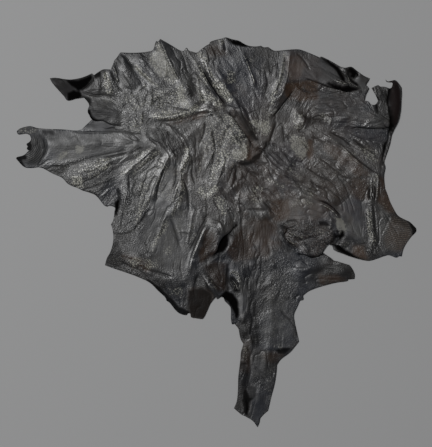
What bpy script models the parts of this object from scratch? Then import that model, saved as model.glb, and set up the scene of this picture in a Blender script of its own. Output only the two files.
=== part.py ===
"""Leather hide: one small whole skin that lies crumpled on a flat surface, grain side up.

It is a single sheet of leather of even thickness. Its outline and its folds are laid out on a
marking grid over the skin, 400 squares to the length. The grid runs right along +X and down
along -Y. A row for each fold gives its kind, its lift off the surface and its route; the leather
spans from fold to fold like a stretched skin, and lies flat where it is pressed down.

Run with: blender --background --python part.py
Units are metres, +Z is up, the surface is Z = 0, and the origin is on it, under the middle of
the skin's box.
"""

from collections import namedtuple

import bmesh
import bpy
import numpy as np
from mathutils import Vector

# Driving sizes
LENGTH = 0.999           # across the skin, left shank to right shank
LEATHER = 0.0012         # thickness of the leather
LOFT = 0.0070            # height at which the skin lies where no fold leads it
LOFT_REACH = 0.050       # how far a fold is felt across the skin
SINK = 0.0036            # the lowest stretches are pressed flat by this much
CELL = 0.0065            # mesh size the folds are worked out on
KEPT_SHARE = 0.20        # share of the mesh that the folds need
FLAT = 0.0002            # what lies closer to the surface than this lies on it
FIRST_CUT = 0.6          # share of a cell left at the first cut across the skin
SAME_PLACE = 0.02        # share of a cell within which a cut goes through a corner
SMALLEST = 0.25          # share of a cell under which an edge is closed up
SHORTEST = 0.0035        # and the same in metres, on the skin with fewer faces

# Marking grid
SQUARES = 399.5          # squares across LENGTH
STEP = LENGTH / SQUARES
GRID_MIDDLE = (216.25, 232.25)
GRID_BOX = (0.0, 24.0, 432.0, 440.0)
COARSE = 2.0             # squares between the points where heights are worked out

Stretch = namedtuple("Stretch", "name points")
Fold = namedtuple("Fold", "place kind lift route")
Seat = namedtuple("Seat", "place x y radius")

# The cut edge, clockwise, in grid squares. It runs smoothly within a stretch and turns
# sharply where two stretches meet.
OUTLINE = (
    Stretch("ear", ((51, 79), (61, 79), (71, 79), (80, 77.5), (90, 73.5), (97, 72), (104, 69),
                    (111, 69))),
    Stretch("ear notch", ((111, 69), (114, 60), (120.5, 52))),
    Stretch("neck, left", ((120.5, 52), (136, 52.5), (152, 50.3), (156, 42), (160.5, 38.7))),
    Stretch("neck, peak", ((160.5, 38.7), (170, 44), (182, 51), (186.5, 47.5), (197, 52), (205, 45.5),
                           (220, 38))),
    Stretch("neck, middle", ((220, 38), (229, 38.5), (240, 41.5), (248, 45.7), (261, 45.2),
                             (275, 50.3))),
    Stretch("neck, right", ((275, 50.3), (290, 49), (303, 50), (315, 54.8), (330, 60), (345, 67.5))),
    Stretch("torn tab", ((345, 67.5), (351, 66.3), (359, 72), (370, 77.8))),
    Stretch("torn tab end", ((370, 77.8), (366, 84), (369, 88))),
    Stretch("tear", ((369, 88), (364.3, 100), (370, 103.5), (375, 104), (378, 100.5), (375, 93.5),
                     (371, 86.5))),
    Stretch("flank, top", ((371, 86.5), (378, 84.5), (388.5, 88), (392, 82.5))),
    Stretch("hook", ((392, 82.5), (385.5, 79))),
    Stretch("flank", ((385.5, 79), (395, 79.5), (401, 85.5), (401.5, 96), (400, 112), (395, 126.5),
                      (390, 143), (384.5, 162), (384, 176), (387.5, 194), (396, 213), (405, 219),
                      (415.5, 226))),
    Stretch("right shank", ((415.5, 226), (414, 234), (406.5, 242), (402.5, 251), (401, 256))),
    Stretch("right shank, below", ((401, 256), (389, 254.5), (378, 257.5), (367, 260), (350, 256),
                                   (333.5, 249.5))),
    Stretch("notch", ((333.5, 249.5), (328, 245.5), (322.5, 251.5))),
    Stretch("hind shank, top", ((322.5, 251.5), (333, 259.5), (349, 264.2), (354.5, 278))),
    Stretch("hind shank, below", ((354.5, 278), (347, 280.5), (331, 283.5), (316, 287.5),
                                  (304, 294.5))),
    Stretch("hind leg, right", ((304, 294.5), (296, 309), (295, 323), (299, 341))),
    Stretch("hind leg, knee", ((299, 341), (289, 352.5), (279, 361.5), (276, 373), (273, 390),
                               (268, 410), (261, 417), (257.5, 426.5))),
    Stretch("hind leg, tip", ((257.5, 426.5), (253, 420.5), (246, 416), (234.7, 408))),
    Stretch("hind leg, left", ((234.7, 408), (238, 393), (238.5, 376), (241, 352), (243.5, 343))),
    Stretch("hind leg, root", ((243.5, 343), (239.5, 333), (234, 322), (231, 309), (225, 300.5),
                               (219, 297))),
    Stretch("belly notch", ((219, 297), (212.5, 300), (206, 313), (202.5, 318.5))),
    Stretch("belly", ((202.5, 318.5), (191, 316), (181, 312.5), (166.5, 300), (154, 286.5),
                      (141, 277.5), (124, 271), (105, 264.5))),
    Stretch("flank, lower left", ((105, 264.5), (109.5, 253.5), (113.5, 239), (111, 224))),
    Stretch("flank, left", ((111, 224), (114.5, 213), (110, 205), (99, 198), (86, 190.5), (70, 184),
                            (56, 174), (39, 166.5))),
    Stretch("left shank, below", ((39, 166.5), (26, 167), (16.75, 157.5))),
    Stretch("left shank, end", ((16.75, 157.5), (29, 150), (27, 142.5), (31.5, 138), (26, 133),
                                (17.5, 133))),
    Stretch("left shank, top", ((17.5, 133), (18, 128.5), (30, 125.7), (38, 128.5), (54, 128.3),
                                (76, 130), (86, 124.5), (91.5, 119.5))),
    Stretch("throat", ((91.5, 119.5), (88, 112), (90.5, 104), (84, 97))),
    Stretch("ear, below", ((84, 97), (76, 98), (67, 99.5), (60, 91), (51, 79))),
)

# The main folds: a ridge is a crest, a valley a crease that is pressed down. The lift is the
# height above the surface in thicknesses of the leather.
FOLDS = (
    Fold("ear", "ridge", 8.5, ((58, 84), (68, 90), (76, 95))),
    Fold("ear root", "valley", 3.5, ((90, 75), (85, 86), (87, 97))),
    Fold("ear root", "ridge", 10, ((97, 77), (99, 84), (97, 91))),
    Fold("ear notch", "valley", 3.5, ((113, 66), (117, 76), (119, 84))),
    Fold("throat", "valley", 4, ((84, 91), (97, 95.5), (110, 95.5), (121, 98))),
    Fold("throat roll", "ridge", 11.5, ((92, 107), (103, 110), (118, 114))),
    Fold("throat roll", "valley", 3, ((90, 116), (100, 121), (112, 124), (123, 127))),
    Fold("left shank", "valley", 3.5, ((78, 131), (100, 132), (130, 133), (146, 137))),
    Fold("left shank", "ridge", 10.5, ((46, 145), (80, 144), (115, 141), (155, 143))),
    Fold("left shank", "valley", 3.5, ((62, 168), (80, 162), (100, 156), (126, 151))),
    Fold("left shank end", "ridge", 8, ((33, 135), (36, 147), (31, 160))),
    Fold("left flank", "ridge", 10, ((74, 178), (92, 170), (110, 161), (130, 153))),
    Fold("star fold", "ridge", 13.5, ((156, 146), (147, 151), (137, 160), (122, 173))),
    Fold("star fold", "valley", 3.5, ((159, 151), (149, 158), (139, 167), (131, 177))),
    Fold("left flank", "valley", 3, ((113, 181), (118, 193), (119, 203), (116, 211))),
    Fold("left flank", "ridge", 10, ((126, 178), (127, 190), (124, 205))),
    Fold("left flank", "ridge", 8.5, ((98, 195), (104, 189), (108, 179))),
    Fold("belly, left", "ridge", 11.5, ((170, 153), (164, 166), (158, 180), (149, 198))),
    Fold("belly, left", "valley", 3.5, ((167, 166), (162, 177), (158, 190), (156, 201))),
    Fold("belly, left", "ridge", 13.5, ((191, 148), (184, 164), (180, 180), (173, 200), (168, 212))),
    Fold("belly, left", "valley", 3.5, ((186, 172), (187, 183), (190, 196), (191, 210))),
    Fold("belly, left", "valley", 4, ((152, 203), (145, 216), (136, 227))),
    Fold("belly, left", "ridge", 9.5, ((166, 214), (161, 226), (156, 242), (152, 255))),
    Fold("belly, left", "valley", 4, ((172, 217), (177, 235), (182, 250))),
    Fold("lower left", "valley", 3, ((114, 233), (124, 234), (134, 231))),
    Fold("lower left", "ridge", 9, ((118, 248), (130, 254), (144, 262), (156, 276))),
    Fold("neck peak", "ridge", 16.5, ((160.5, 40), (163, 50), (168, 61), (176, 75))),
    Fold("neck peak", "valley", 4.5, ((186, 53), (190, 64), (194, 80), (198, 92))),
    Fold("neck, left", "valley", 4, ((126, 59), (136, 70), (147, 81))),
    Fold("neck, left", "ridge", 10.5, ((140, 57), (148, 70), (160, 82), (166, 90))),
    Fold("neck, left", "ridge", 9, ((122, 58), (126, 72), (131, 86))),
    Fold("shoulder", "ridge", 12, ((176, 83), (184, 94), (190, 105))),
    Fold("shoulder", "ridge", 11.5, ((151, 116), (170, 116), (192, 111), (216, 107))),
    Fold("shoulder", "valley", 4, ((150, 122), (172, 123), (196, 119), (222, 113))),
    Fold("shoulder", "valley", 4.5, ((146, 98), (160, 104), (176, 110))),
    Fold("neck fold", "valley", 3, ((201, 62), (209, 82), (221, 99), (233, 117), (245, 137),
                                    (252, 156))),
    Fold("neck fold", "ridge", 12.5, ((214, 70), (221, 87), (230, 99), (240, 116), (251, 132))),
    Fold("neck fold", "ridge", 11.5, ((206, 106), (222, 122), (234, 137), (240, 148))),
    Fold("neck fold", "ridge", 10.5, ((205, 52), (210, 62), (218, 72))),
    Fold("neck, middle", "valley", 4.5, ((232, 62), (236, 84), (246, 104), (258, 128))),
    Fold("neck, middle", "ridge", 10, ((243, 51), (250, 68), (256, 86), (262, 104))),
    Fold("neck, middle", "valley", 4.5, ((268, 56), (270, 76), (266, 98))),
    Fold("neck, right", "ridge", 14, ((287, 50), (285, 72), (279, 90), (269, 106))),
    Fold("neck, right", "valley", 3, ((295, 86), (283, 102), (275, 117), (272, 134), (267, 150))),
    Fold("brown hollow", "ridge", 12.5, ((298, 70), (314, 75), (332, 82), (352, 87))),
    Fold("brown hollow", "valley", 4, ((304, 84), (322, 90), (342, 96), (356, 98))),
    Fold("torn tab", "ridge", 10.5, ((341, 69), (352, 74), (362, 79))),
    Fold("torn tab", "valley", 4, ((321, 60), (333, 67), (344, 79))),
    Fold("right shoulder", "ridge", 11.5, ((291, 113), (298, 118), (300, 128))),
    Fold("right shoulder", "valley", 4.5, ((302, 111), (314, 118), (327, 116))),
    Fold("right shoulder", "ridge", 10, ((329, 112), (346, 116), (366, 119), (382, 119))),
    Fold("right shoulder", "valley", 3.5, ((345, 128), (364, 128), (380, 127), (388, 130))),
    Fold("rolled flank", "ridge", 11.5, ((394, 87), (396, 100), (395, 113), (391, 127))),
    Fold("rolled flank", "valley", 3.5, ((386, 92), (387, 112), (386, 134), (381, 150), (379, 166))),
    Fold("right flank", "ridge", 11.5, ((320, 133), (338, 145), (354, 159), (370, 173))),
    Fold("right flank", "valley", 4, ((332, 132), (347, 142), (362, 156), (377, 171))),
    Fold("right flank", "ridge", 8.5, ((338, 125), (352, 136), (368, 148))),
    Fold("knuckle", "ridge", 12.5, ((290, 139), (297, 145), (303, 152))),
    Fold("knuckle", "valley", 4, ((313, 148), (309, 158), (301, 165), (291, 164))),
    Fold("middle", "ridge", 13, ((229, 142), (238, 149), (245, 153))),
    Fold("middle", "valley", 3.5, ((260, 140), (256, 152), (246, 163), (236, 172))),
    Fold("middle", "ridge", 11.5, ((222, 150), (215, 165), (211, 180), (206, 194))),
    Fold("middle", "valley", 4.5, ((204, 152), (200, 168), (197, 184))),
    Fold("middle", "valley", 4.5, ((229, 164), (224, 180), (218, 196))),
    Fold("middle, right", "ridge", 9.5, ((266, 160), (280, 173), (298, 183))),
    Fold("middle, right", "ridge", 9, ((248, 190), (257, 199), (265, 208))),
    Fold("middle, right", "valley", 4.5, ((262, 192), (271, 204), (279, 214))),
    Fold("right side", "ridge", 10, ((318, 197), (330, 205), (343, 217))),
    Fold("right side", "ridge", 9, ((292, 205), (304, 202), (314, 208))),
    Fold("right side", "ridge", 13.5, ((374, 171), (376, 186), (371, 203), (370, 218), (373, 234),
                                       (370, 252))),
    Fold("right side", "valley", 4, ((381, 182), (379, 204), (377, 224), (379, 246))),
    Fold("right side", "valley", 4, ((363, 184), (362, 204), (364, 226), (365, 246))),
    Fold("right shank", "ridge", 8, ((390, 224), (396, 234), (394, 248))),
    Fold("pocket", "ridge", 14, ((212, 222), (220, 227), (217, 238), (212, 252))),
    Fold("pocket", "valley", 3, ((237, 222), (230, 232), (223, 241), (219, 252))),
    Fold("pocket", "ridge", 12.5, ((234, 234), (231, 246), (223, 256), (211, 262))),
    Fold("belly, right", "ridge", 13.5, ((208, 225), (201, 238), (196, 251), (190, 268))),
    Fold("belly, right", "valley", 4.5, ((207, 214), (199, 232), (191, 250), (187, 262))),
    Fold("belly, right", "valley", 5, ((207, 238), (205, 252), (202, 264))),
    Fold("belly, right", "valley", 3.5, ((199, 275), (194, 290), (194, 304))),
    Fold("belly, right", "ridge", 10, ((204, 272), (209, 282), (217, 292))),
    Fold("notch", "ridge", 10.5, ((296, 228), (312, 234), (328, 240))),
    Fold("notch", "ridge", 9.5, ((338, 242), (350, 250), (362, 255))),
    Fold("notch", "valley", 4, ((283, 226), (288, 240), (300, 248))),
    Fold("hind shank", "valley", 3, ((300, 254), (312, 257), (324, 258))),
    Fold("hind shank", "ridge", 9.5, ((296, 268), (318, 268), (346, 271))),
    Fold("hind leg", "valley", 4, ((228, 264), (227, 278), (228, 292))),
    Fold("hind leg", "ridge", 10.5, ((238, 268), (242, 290), (243, 312), (245, 334))),
    Fold("hind leg", "valley", 4, ((256, 268), (254, 294), (252, 320), (254, 342))),
    Fold("hind leg", "ridge", 12.5, ((272, 262), (270, 292), (272, 322), (268, 350), (262, 380),
                                     (257, 404))),
    Fold("hind leg", "valley", 3.5, ((251, 356), (249, 380), (246, 402), (247, 413))),
    Fold("hind leg", "ridge", 8, ((244, 354), (243, 376), (240, 400))),
    Fold("knee", "valley", 5, ((281, 309), (289, 320), (295, 330))),
    Fold("knee", "valley", 5, ((270, 352), (280, 352), (292, 349))),
    Fold("middle, low", "ridge", 9, ((264, 222), (262, 236), (262, 252))),
    Fold("middle, low", "valley", 4.5, ((244, 212), (243, 228), (246, 246))),
)

# Places where the skin is pressed flat on the surface
SEATS = (
    Seat("left shank", 27, 158, 4),
    Seat("ear", 79, 84, 3),
    Seat("neck, middle", 231, 52, 4),
    Seat("lower left", 117, 257, 5),
    Seat("belly", 178, 282, 6),
    Seat("right middle", 331, 181, 5),
    Seat("right shank", 406, 234, 5),
    Seat("hind leg", 261, 413, 4),
)


def place(x, y):
    """Metres on the surface of a place on the marking grid."""
    return ((x - GRID_MIDDLE[0]) * STEP, (GRID_MIDDLE[1] - y) * STEP)


def smooth_route(points, spacing):
    """Even points along a smooth curve through the given ones."""
    knots = np.array(points, float)
    if len(knots) < 3:
        spine = knots
    else:
        ends = np.vstack((2 * knots[0] - knots[1], knots, 2 * knots[-1] - knots[-2]))
        t = np.linspace(0, 1, 16, endpoint=False)[:, None]
        runs = []
        for a, b, c, d in zip(ends, ends[1:], ends[2:], ends[3:]):
            runs.append(0.5 * (2 * b + (c - a) * t + (2 * a - 5 * b + 4 * c - d) * t ** 2
                               + (3 * b - a - 3 * c + d) * t ** 3))
        spine = np.vstack(runs + [knots[-1:]])
    along = np.concatenate(([0.0], np.cumsum(np.linalg.norm(np.diff(spine, axis=0), axis=1))))
    count = max(2, round(along[-1] / spacing) + 1)
    even = np.linspace(0, along[-1], count)
    return np.column_stack([np.interp(even, along, spine[:, i]) for i in (0, 1)])


def cut_edge(spacing):
    """The whole outline in grid squares, one loop."""
    return np.vstack([smooth_route(stretch.points, spacing)[:-1] for stretch in OUTLINE])


def inside(loop, x, y):
    """Which of the places x, y lie inside a closed loop."""
    hit = np.zeros(x.shape, bool)
    for (x0, y0), (x1, y1) in zip(loop, np.roll(loop, -1, axis=0)):
        if y0 != y1:
            crosses = (y0 > y) != (y1 > y)
            hit ^= crosses & (x < x0 + (x1 - x0) * (y - y0) / (y1 - y0))
    return hit


def spread(field, times):
    """Average each point with its four neighbours, again and again."""
    for _ in range(times):
        padded = np.pad(field, 1, mode="edge")
        field = (padded[:-2, 1:-1] + padded[2:, 1:-1] + padded[1:-1, :-2] + padded[1:-1, 2:]
                 + 4 * field) / 8
    return field


class Relief:
    """Heights of the skin over the marking grid, in metres."""

    ROUNDS = 900         # rounds of relaxing, enough for the folds' reach
    HOLD = 24.0          # how firmly a fold's own height is held
    FADE = 0.22          # share of a fold over which it fades out at each end
    DOTS = 4             # dots in each length of COARSE that draw a fold
    OVERHANG = 3.0       # squares past the cut edge where the surface is reached
    OUTSIDE = 0.04       # share of skin nearby under which a place counts as bare surface
    FAINTEST = 0.02      # how faintly a fold is drawn at its very ends
    SOFTEN = 2           # rounds of averaging that round the creases off

    def __init__(self):
        x0, y0, x1, y1 = GRID_BOX
        self.columns = int((x1 - x0) / COARSE) + 1
        self.rows = int((y1 - y0) / COARSE) + 1
        self.target = np.zeros((self.rows, self.columns))
        self.pull = np.zeros((self.rows, self.columns))
        for fold in FOLDS:
            self.draw(fold)
        self.pin_flat()
        self.height = self.relax()

    def draw(self, fold):
        """Pull the points beside a fold's route to its height, less and less at its ends."""
        route = smooth_route(fold.route, COARSE / self.DOTS)
        along = np.linspace(0, 1, len(route))
        firm = np.clip(np.minimum(along, 1 - along) / self.FADE, self.FAINTEST, 1)
        column = (route[:, 0] - GRID_BOX[0]) / COARSE
        row = (route[:, 1] - GRID_BOX[1]) / COARSE
        left, top = np.floor(column).astype(int), np.floor(row).astype(int)
        for side in (0, 1):
            for end in (0, 1):
                share = np.abs(1 - side - column + left) * np.abs(1 - end - row + top)
                pull = share * firm / self.DOTS
                np.add.at(self.target, (top + end, left + side), pull * fold.lift * LEATHER)
                np.add.at(self.pull, (top + end, left + side), pull)

    def pin_flat(self):
        """Pin the seats, and the surface just outside the cut edge."""
        y, x = np.mgrid[0:self.rows, 0:self.columns]
        x = GRID_BOX[0] + COARSE * x
        y = GRID_BOX[1] + COARSE * y
        near = inside(cut_edge(COARSE), x, y).astype(float)
        pinned = spread(near, round(4 * (self.OVERHANG / COARSE) ** 2)) < self.OUTSIDE
        for seat in SEATS:
            pinned |= (x - seat.x) ** 2 + (y - seat.y) ** 2 < seat.radius ** 2
        self.target[pinned] = 0.0
        self.pull[pinned] = 1.0

    def relax(self):
        """Let the skin span from fold to fold, and flatten its lowest stretches."""
        held = self.pull > 0
        goal = np.where(held, self.target / np.where(held, self.pull, 1), 0)
        hold = self.HOLD * np.minimum(self.pull, 1)
        ease = 4 * (COARSE * STEP / LOFT_REACH) ** 2
        height = np.where(held, goal, LOFT)
        for _ in range(self.ROUNDS):
            padded = np.pad(height, 1, mode="edge")
            beside = padded[:-2, 1:-1] + padded[2:, 1:-1] + padded[1:-1, :-2] + padded[1:-1, 2:]
            height = (beside + ease * LOFT + hold * goal) / (4 + ease + hold)
        return np.maximum(spread(height, self.SOFTEN) - SINK, 0)

    def at(self, x, y):
        """Height at a place on the marking grid."""
        column = (x - GRID_BOX[0]) / COARSE
        row = (y - GRID_BOX[1]) / COARSE
        left, top = int(column), int(row)
        across, down = column - left, row - top
        patch = self.height[top:top + 2, left:left + 2]
        return float((1 - down) * ((1 - across) * patch[0, 0] + across * patch[0, 1])
                     + down * ((1 - across) * patch[1, 0] + across * patch[1, 1]))


def flat_skin():
    """The cut skin, flat, as a mesh of small cells inside its outline."""
    mesh = bmesh.new()
    loop = cut_edge(CELL / STEP)
    corners = [mesh.verts.new((*place(x, y), 0)) for x, y in loop]
    mesh.faces.new(reversed(corners))
    for axis in (0, 1):
        across = [corner.co[axis] for corner in corners]
        cut = min(across) + CELL * FIRST_CUT
        while cut < max(across):
            middle, normal = Vector((0, 0, 0)), Vector((0, 0, 0))
            middle[axis], normal[axis] = cut, 1
            bmesh.ops.bisect_plane(mesh, geom=mesh.verts[:] + mesh.edges[:] + mesh.faces[:],
                                   dist=CELL * SAME_PLACE, plane_co=middle, plane_no=normal)
            cut += CELL
    bmesh.ops.dissolve_degenerate(mesh, dist=CELL * SMALLEST, edges=mesh.edges[:])
    bmesh.ops.triangulate(mesh, faces=mesh.faces[:])
    bmesh.ops.recalc_face_normals(mesh, faces=mesh.faces[:])
    return mesh


def black_leather():
    """Semi-gloss black grain leather."""
    material = bpy.data.materials.new("black leather")
    material.use_nodes = True
    shader = material.node_tree.nodes["Principled BSDF"]
    shader.inputs["Base Color"].default_value = (0.016, 0.015, 0.0145, 1)
    shader.inputs["Roughness"].default_value = 0.42
    shader.inputs["Metallic"].default_value = 0.0
    return material


def fewer_faces(mesh):
    """The same skin with long faces where it is even and small ones along its folds."""
    fine = bpy.data.objects.new("fine skin", mesh)
    bpy.context.scene.collection.objects.link(fine)
    fine.modifiers.new("fewer faces", "DECIMATE").ratio = KEPT_SHARE
    graph = bpy.context.evaluated_depsgraph_get()
    coarse = bmesh.new()
    coarse.from_object(fine, graph)
    bpy.data.objects.remove(fine, do_unlink=True)
    bmesh.ops.dissolve_degenerate(coarse, dist=SHORTEST, edges=coarse.edges[:])
    bmesh.ops.triangulate(coarse, faces=coarse.faces[:])
    return coarse


def make_hide(collection):
    """The skin laid on its folds, as one closed sheet that stands on the surface."""
    skin = flat_skin()
    relief = Relief()
    for vertex in skin.verts:
        x = vertex.co.x / STEP + GRID_MIDDLE[0]
        y = GRID_MIDDLE[1] - vertex.co.y / STEP
        vertex.co.z = relief.at(x, y)
    if sum(face.normal.z for face in skin.faces) < 0:
        bmesh.ops.reverse_faces(skin, faces=skin.faces[:])
    mesh = bpy.data.meshes.new("hide")
    skin.to_mesh(mesh)
    skin.free()

    skin = fewer_faces(mesh)
    corners = [vertex.co for vertex in skin.verts]
    low = [min(corner[axis] for corner in corners) for axis in (0, 1)]
    high = [max(corner[axis] for corner in corners) for axis in (0, 1)]
    for corner in corners:
        corner.x -= (low[0] + high[0]) / 2
        corner.y -= (low[1] + high[1]) / 2
        corner.z = corner.z if corner.z > FLAT else 0.0
    skin.to_mesh(mesh)
    skin.free()
    mesh.materials.append(black_leather())
    mesh.shade_smooth()
    hide = bpy.data.objects.new("hide", mesh)
    collection.objects.link(hide)
    thick = hide.modifiers.new("leather", "SOLIDIFY")
    thick.thickness = LEATHER
    thick.offset = 1.0
    return hide


def main():
    for old in list(bpy.data.objects):
        bpy.data.objects.remove(old, do_unlink=True)
    collection = bpy.data.collections.new("leather hide")
    bpy.context.scene.collection.children.link(collection)
    make_hide(collection)


main()
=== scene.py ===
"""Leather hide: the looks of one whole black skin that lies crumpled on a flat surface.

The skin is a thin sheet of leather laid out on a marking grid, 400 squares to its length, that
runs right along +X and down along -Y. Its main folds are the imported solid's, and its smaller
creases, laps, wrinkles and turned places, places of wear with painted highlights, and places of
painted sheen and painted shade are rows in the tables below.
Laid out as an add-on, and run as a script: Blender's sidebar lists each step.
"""

import math
from collections import namedtuple

import bmesh
import bpy
import numpy as np
from bpy.props import FloatProperty, FloatVectorProperty, PointerProperty
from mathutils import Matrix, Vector


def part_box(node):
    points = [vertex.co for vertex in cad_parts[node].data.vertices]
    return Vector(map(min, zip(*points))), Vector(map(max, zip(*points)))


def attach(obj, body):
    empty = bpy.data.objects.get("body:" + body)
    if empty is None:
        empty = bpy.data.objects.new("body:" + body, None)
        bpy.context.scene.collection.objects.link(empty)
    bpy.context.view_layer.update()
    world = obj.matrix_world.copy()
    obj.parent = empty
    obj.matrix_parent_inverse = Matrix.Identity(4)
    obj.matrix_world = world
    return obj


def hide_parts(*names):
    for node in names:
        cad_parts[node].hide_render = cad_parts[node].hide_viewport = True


bl_info = {
    "name": "Crumpled Leather Hide",
    "version": (1, 0, 0),
    "blender": (4, 5, 0),
    "location": "View3D > Sidebar > Hide",
    "description": "Lays a black leather skin on its folds and sets a plain studio round it",
    "category": "Add Mesh",
}

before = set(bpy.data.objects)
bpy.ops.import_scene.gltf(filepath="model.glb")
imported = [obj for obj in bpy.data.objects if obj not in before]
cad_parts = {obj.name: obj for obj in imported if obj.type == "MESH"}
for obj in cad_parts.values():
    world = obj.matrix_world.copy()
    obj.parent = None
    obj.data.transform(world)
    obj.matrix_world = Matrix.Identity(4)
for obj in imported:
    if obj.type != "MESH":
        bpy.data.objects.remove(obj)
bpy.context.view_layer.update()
SOLID = "hide"
SOLID_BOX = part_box(SOLID)

# ---------------------------------------------------------------- marking grid

SQUARES = 399.5                  # squares across the length of the skin
GRID_MIDDLE = (216.25, 232.25)
GRID_BOX = (0.0, 24.0, 432.0, 440.0)
SKIN_LENGTH = 0.999
STEP = SKIN_LENGTH / SQUARES
MM = 0.001

Tone = namedtuple("Tone", "soften jog")
Wrinkles = namedtuple("Wrinkles", "place x y reach_x reach_y angle pitch depth_mm")
Rings = namedtuple("Rings", "place x y reach_x reach_y centre_x centre_y pitch")
Patch = namedtuple("Patch", "place tone x y reach_x reach_y turn strength")

# The cut edge, clockwise, in grid squares: x and y of each point in turn. It runs smoothly
# within a stretch, and turns sharply where the next one starts.
OUTLINE = {
    "ear": (49.8, 77.5, 56, 77.2, 64, 78.5, 71, 79, 80, 77.5, 86, 75.5),
    "ear nick": (92, 72.8),
    "ear root": (94, 74.8, 97, 72.5, 101, 70, 104, 68.8),
    "ear notch": (111, 69, 113, 64, 114.5, 60, 117, 57),
    "neck, left": (120.5, 51.8, 130, 52.3, 142, 52, 152, 50.3),
    "neck, nib": (154.5, 47, 155.5, 43),
    "neck, nick": (156.5, 40.5, 158.5, 41.5),
    "neck, peak": (160.5, 38.7, 163, 40.5, 168, 43, 174, 46.5, 180, 50),
    "neck, tag": (184, 50.5, 186.5, 47),
    "neck, dip": (188.5, 50, 192, 51, 197, 52.2, 201, 49, 206, 45.3),
    "neck, crown": (209.5, 43.5, 210.5, 41.2, 217, 39, 222, 38, 226, 36.8),
    "neck, lip": (232, 38.6, 239, 40.2, 243, 42.6, 248, 45, 255, 46),
    "neck, ragged": (261, 45.2, 264, 46.8, 268, 46.5, 271, 48.5, 275, 50.3),
    "neck, right": (285, 49.7, 297, 48.8, 303, 50, 309, 52.3),
    "neck, nick right": (320, 57, 321.5, 56, 330, 60, 336, 63.5, 341, 66.5),
    "torn tab": (345, 67.5, 351, 66.3, 355, 69, 359, 72, 364, 75.5),
    "torn tab end": (370, 77.8, 368.5, 80.5, 366, 84, 368, 86.5),
    "tear, left": (369, 88, 367.5, 91, 366, 94),
    "tear, foot": (364.3, 100, 368.5, 101, 370.5, 103.8, 375, 104),
    "tear, right": (378, 100.5, 377, 97.5, 375, 93.5),
    "flank, top": (371.5, 87.5, 374, 86.2, 378, 84.5, 380, 86, 385, 86.3),
    "flank, nick": (389, 88, 391.5, 87.3, 392.5, 82.3, 389, 81.8, 386.3, 81),
    "hook": (385.5, 78.8, 387.5, 80.8, 391, 80.3, 395, 79.5, 398, 82),
    "flank": (401.5, 87, 401.5, 93, 401, 100, 400.3, 110, 398.5, 119, 395.6, 126.5, 392.5, 137, 388.5,
        149, 384.5, 161, 385.5, 167, 384, 176),
    "flank, low": (385, 188, 387.5, 194, 390, 201, 393.5, 208, 398, 215, 405, 219, 410, 221.5),
    "right shank": (416, 227.5, 416, 231, 410, 237.5, 404, 247),
    "right shank, foot": (401.5, 256, 399, 255.5, 396, 257, 389, 254.5, 384, 255.5, 373, 259.3, 367,
        260, 356, 257.5, 344, 253.5),
    "notch, top": (333.5, 249.5, 332, 247, 330, 245.5),
    "notch": (326.5, 245.8, 324, 249.5),
    "notch, foot": (322.5, 251.5, 325, 253.5, 331, 257.5, 333, 259.5, 338, 261),
    "hind shank": (349, 264.2, 351, 266.5, 353, 269.5, 354.8, 274),
    "hind shank, end": (354.5, 278.3),
    "hind shank, low": (348, 278.8, 347, 280.5, 336, 282, 326, 284.5, 316, 287.5, 308, 291),
    "hind tag": (303, 295, 303.5, 299),
    "hind leg, right": (300, 300, 297.5, 306, 294, 314, 295, 323, 298, 336),
    "knee": (299, 341, 295, 346, 289, 352.5, 281, 358.5),
    "hind leg, low": (277, 364, 276.3, 373, 274.5, 384, 271.5, 395, 269, 406),
    "hind leg, heel": (268, 410, 264.5, 413, 260.5, 417.5, 259.5, 422),
    "hind leg, tip": (257.5, 426.5, 253, 420.5, 246, 416, 241, 413.5),
    "hind leg, left": (234, 407.6, 237, 400, 238, 390, 238.5, 376, 240.5, 359, 241, 352),
    "hind leg, step": (243.5, 343, 241, 339, 239.5, 333, 238.5, 328),
    "hind leg, root": (234.5, 323, 232, 323.5, 231, 318, 231, 309, 229.5, 305, 225, 300.5, 223.5, 297),
    "belly notch": (221, 296, 217, 298.5, 216, 296),
    "belly point": (212.5, 300, 210, 304, 207.5, 310, 204, 317),
    "belly": (202, 318.5, 195, 317.5, 191, 316.5, 190.5, 313),
    "belly, ragged": (188, 312.5, 186, 314.5, 180, 313, 175.5, 309.5, 170, 302.5),
    "belly, left": (166.5, 300, 165, 296.5, 158, 290, 150.5, 282.5, 141, 277.5, 128, 272.5, 113, 267.5),
    "flank, lower left": (105, 264.5, 107, 257.5, 111, 250, 113.5, 239, 112.5, 228),
    "flank, left": (111, 224, 113.5, 219, 114.5, 211, 115, 207, 110, 205),
    "flank, scallop": (107, 206, 104, 204.5, 99, 198, 95, 194, 90, 192),
    "flank, upper left": (83, 190, 78, 187.5, 68.5, 183.5, 62, 177, 53, 173),
    "left shank, low": (43, 167.5, 38, 166.5, 31, 167.3, 24, 166.2),
    "left shank, point": (16.5, 158.5, 16.8, 156.6, 24, 154.5),
    "left shank, end": (29, 150, 26.8, 148, 28, 146, 26.5, 143.5, 29.5, 141.5, 31.5, 138.5),
    "left shank, wisp": (30, 134.5, 26, 133, 18.5, 133.8),
    "left shank, top": (16.8, 130.5, 21, 127.5, 30, 125.5, 37.5, 127.5, 46, 128.3, 62, 128.8, 76, 130),
    "throat": (82, 128.8, 86, 124.5, 91.5, 119.5, 91, 117.5, 88.5, 114.5, 88, 109.5, 89.5, 105, 87.5,
        101),
    "ear, low": (84, 97, 76, 98, 68, 100, 64, 95.5, 60, 91, 52.5, 82.5),
}

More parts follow.
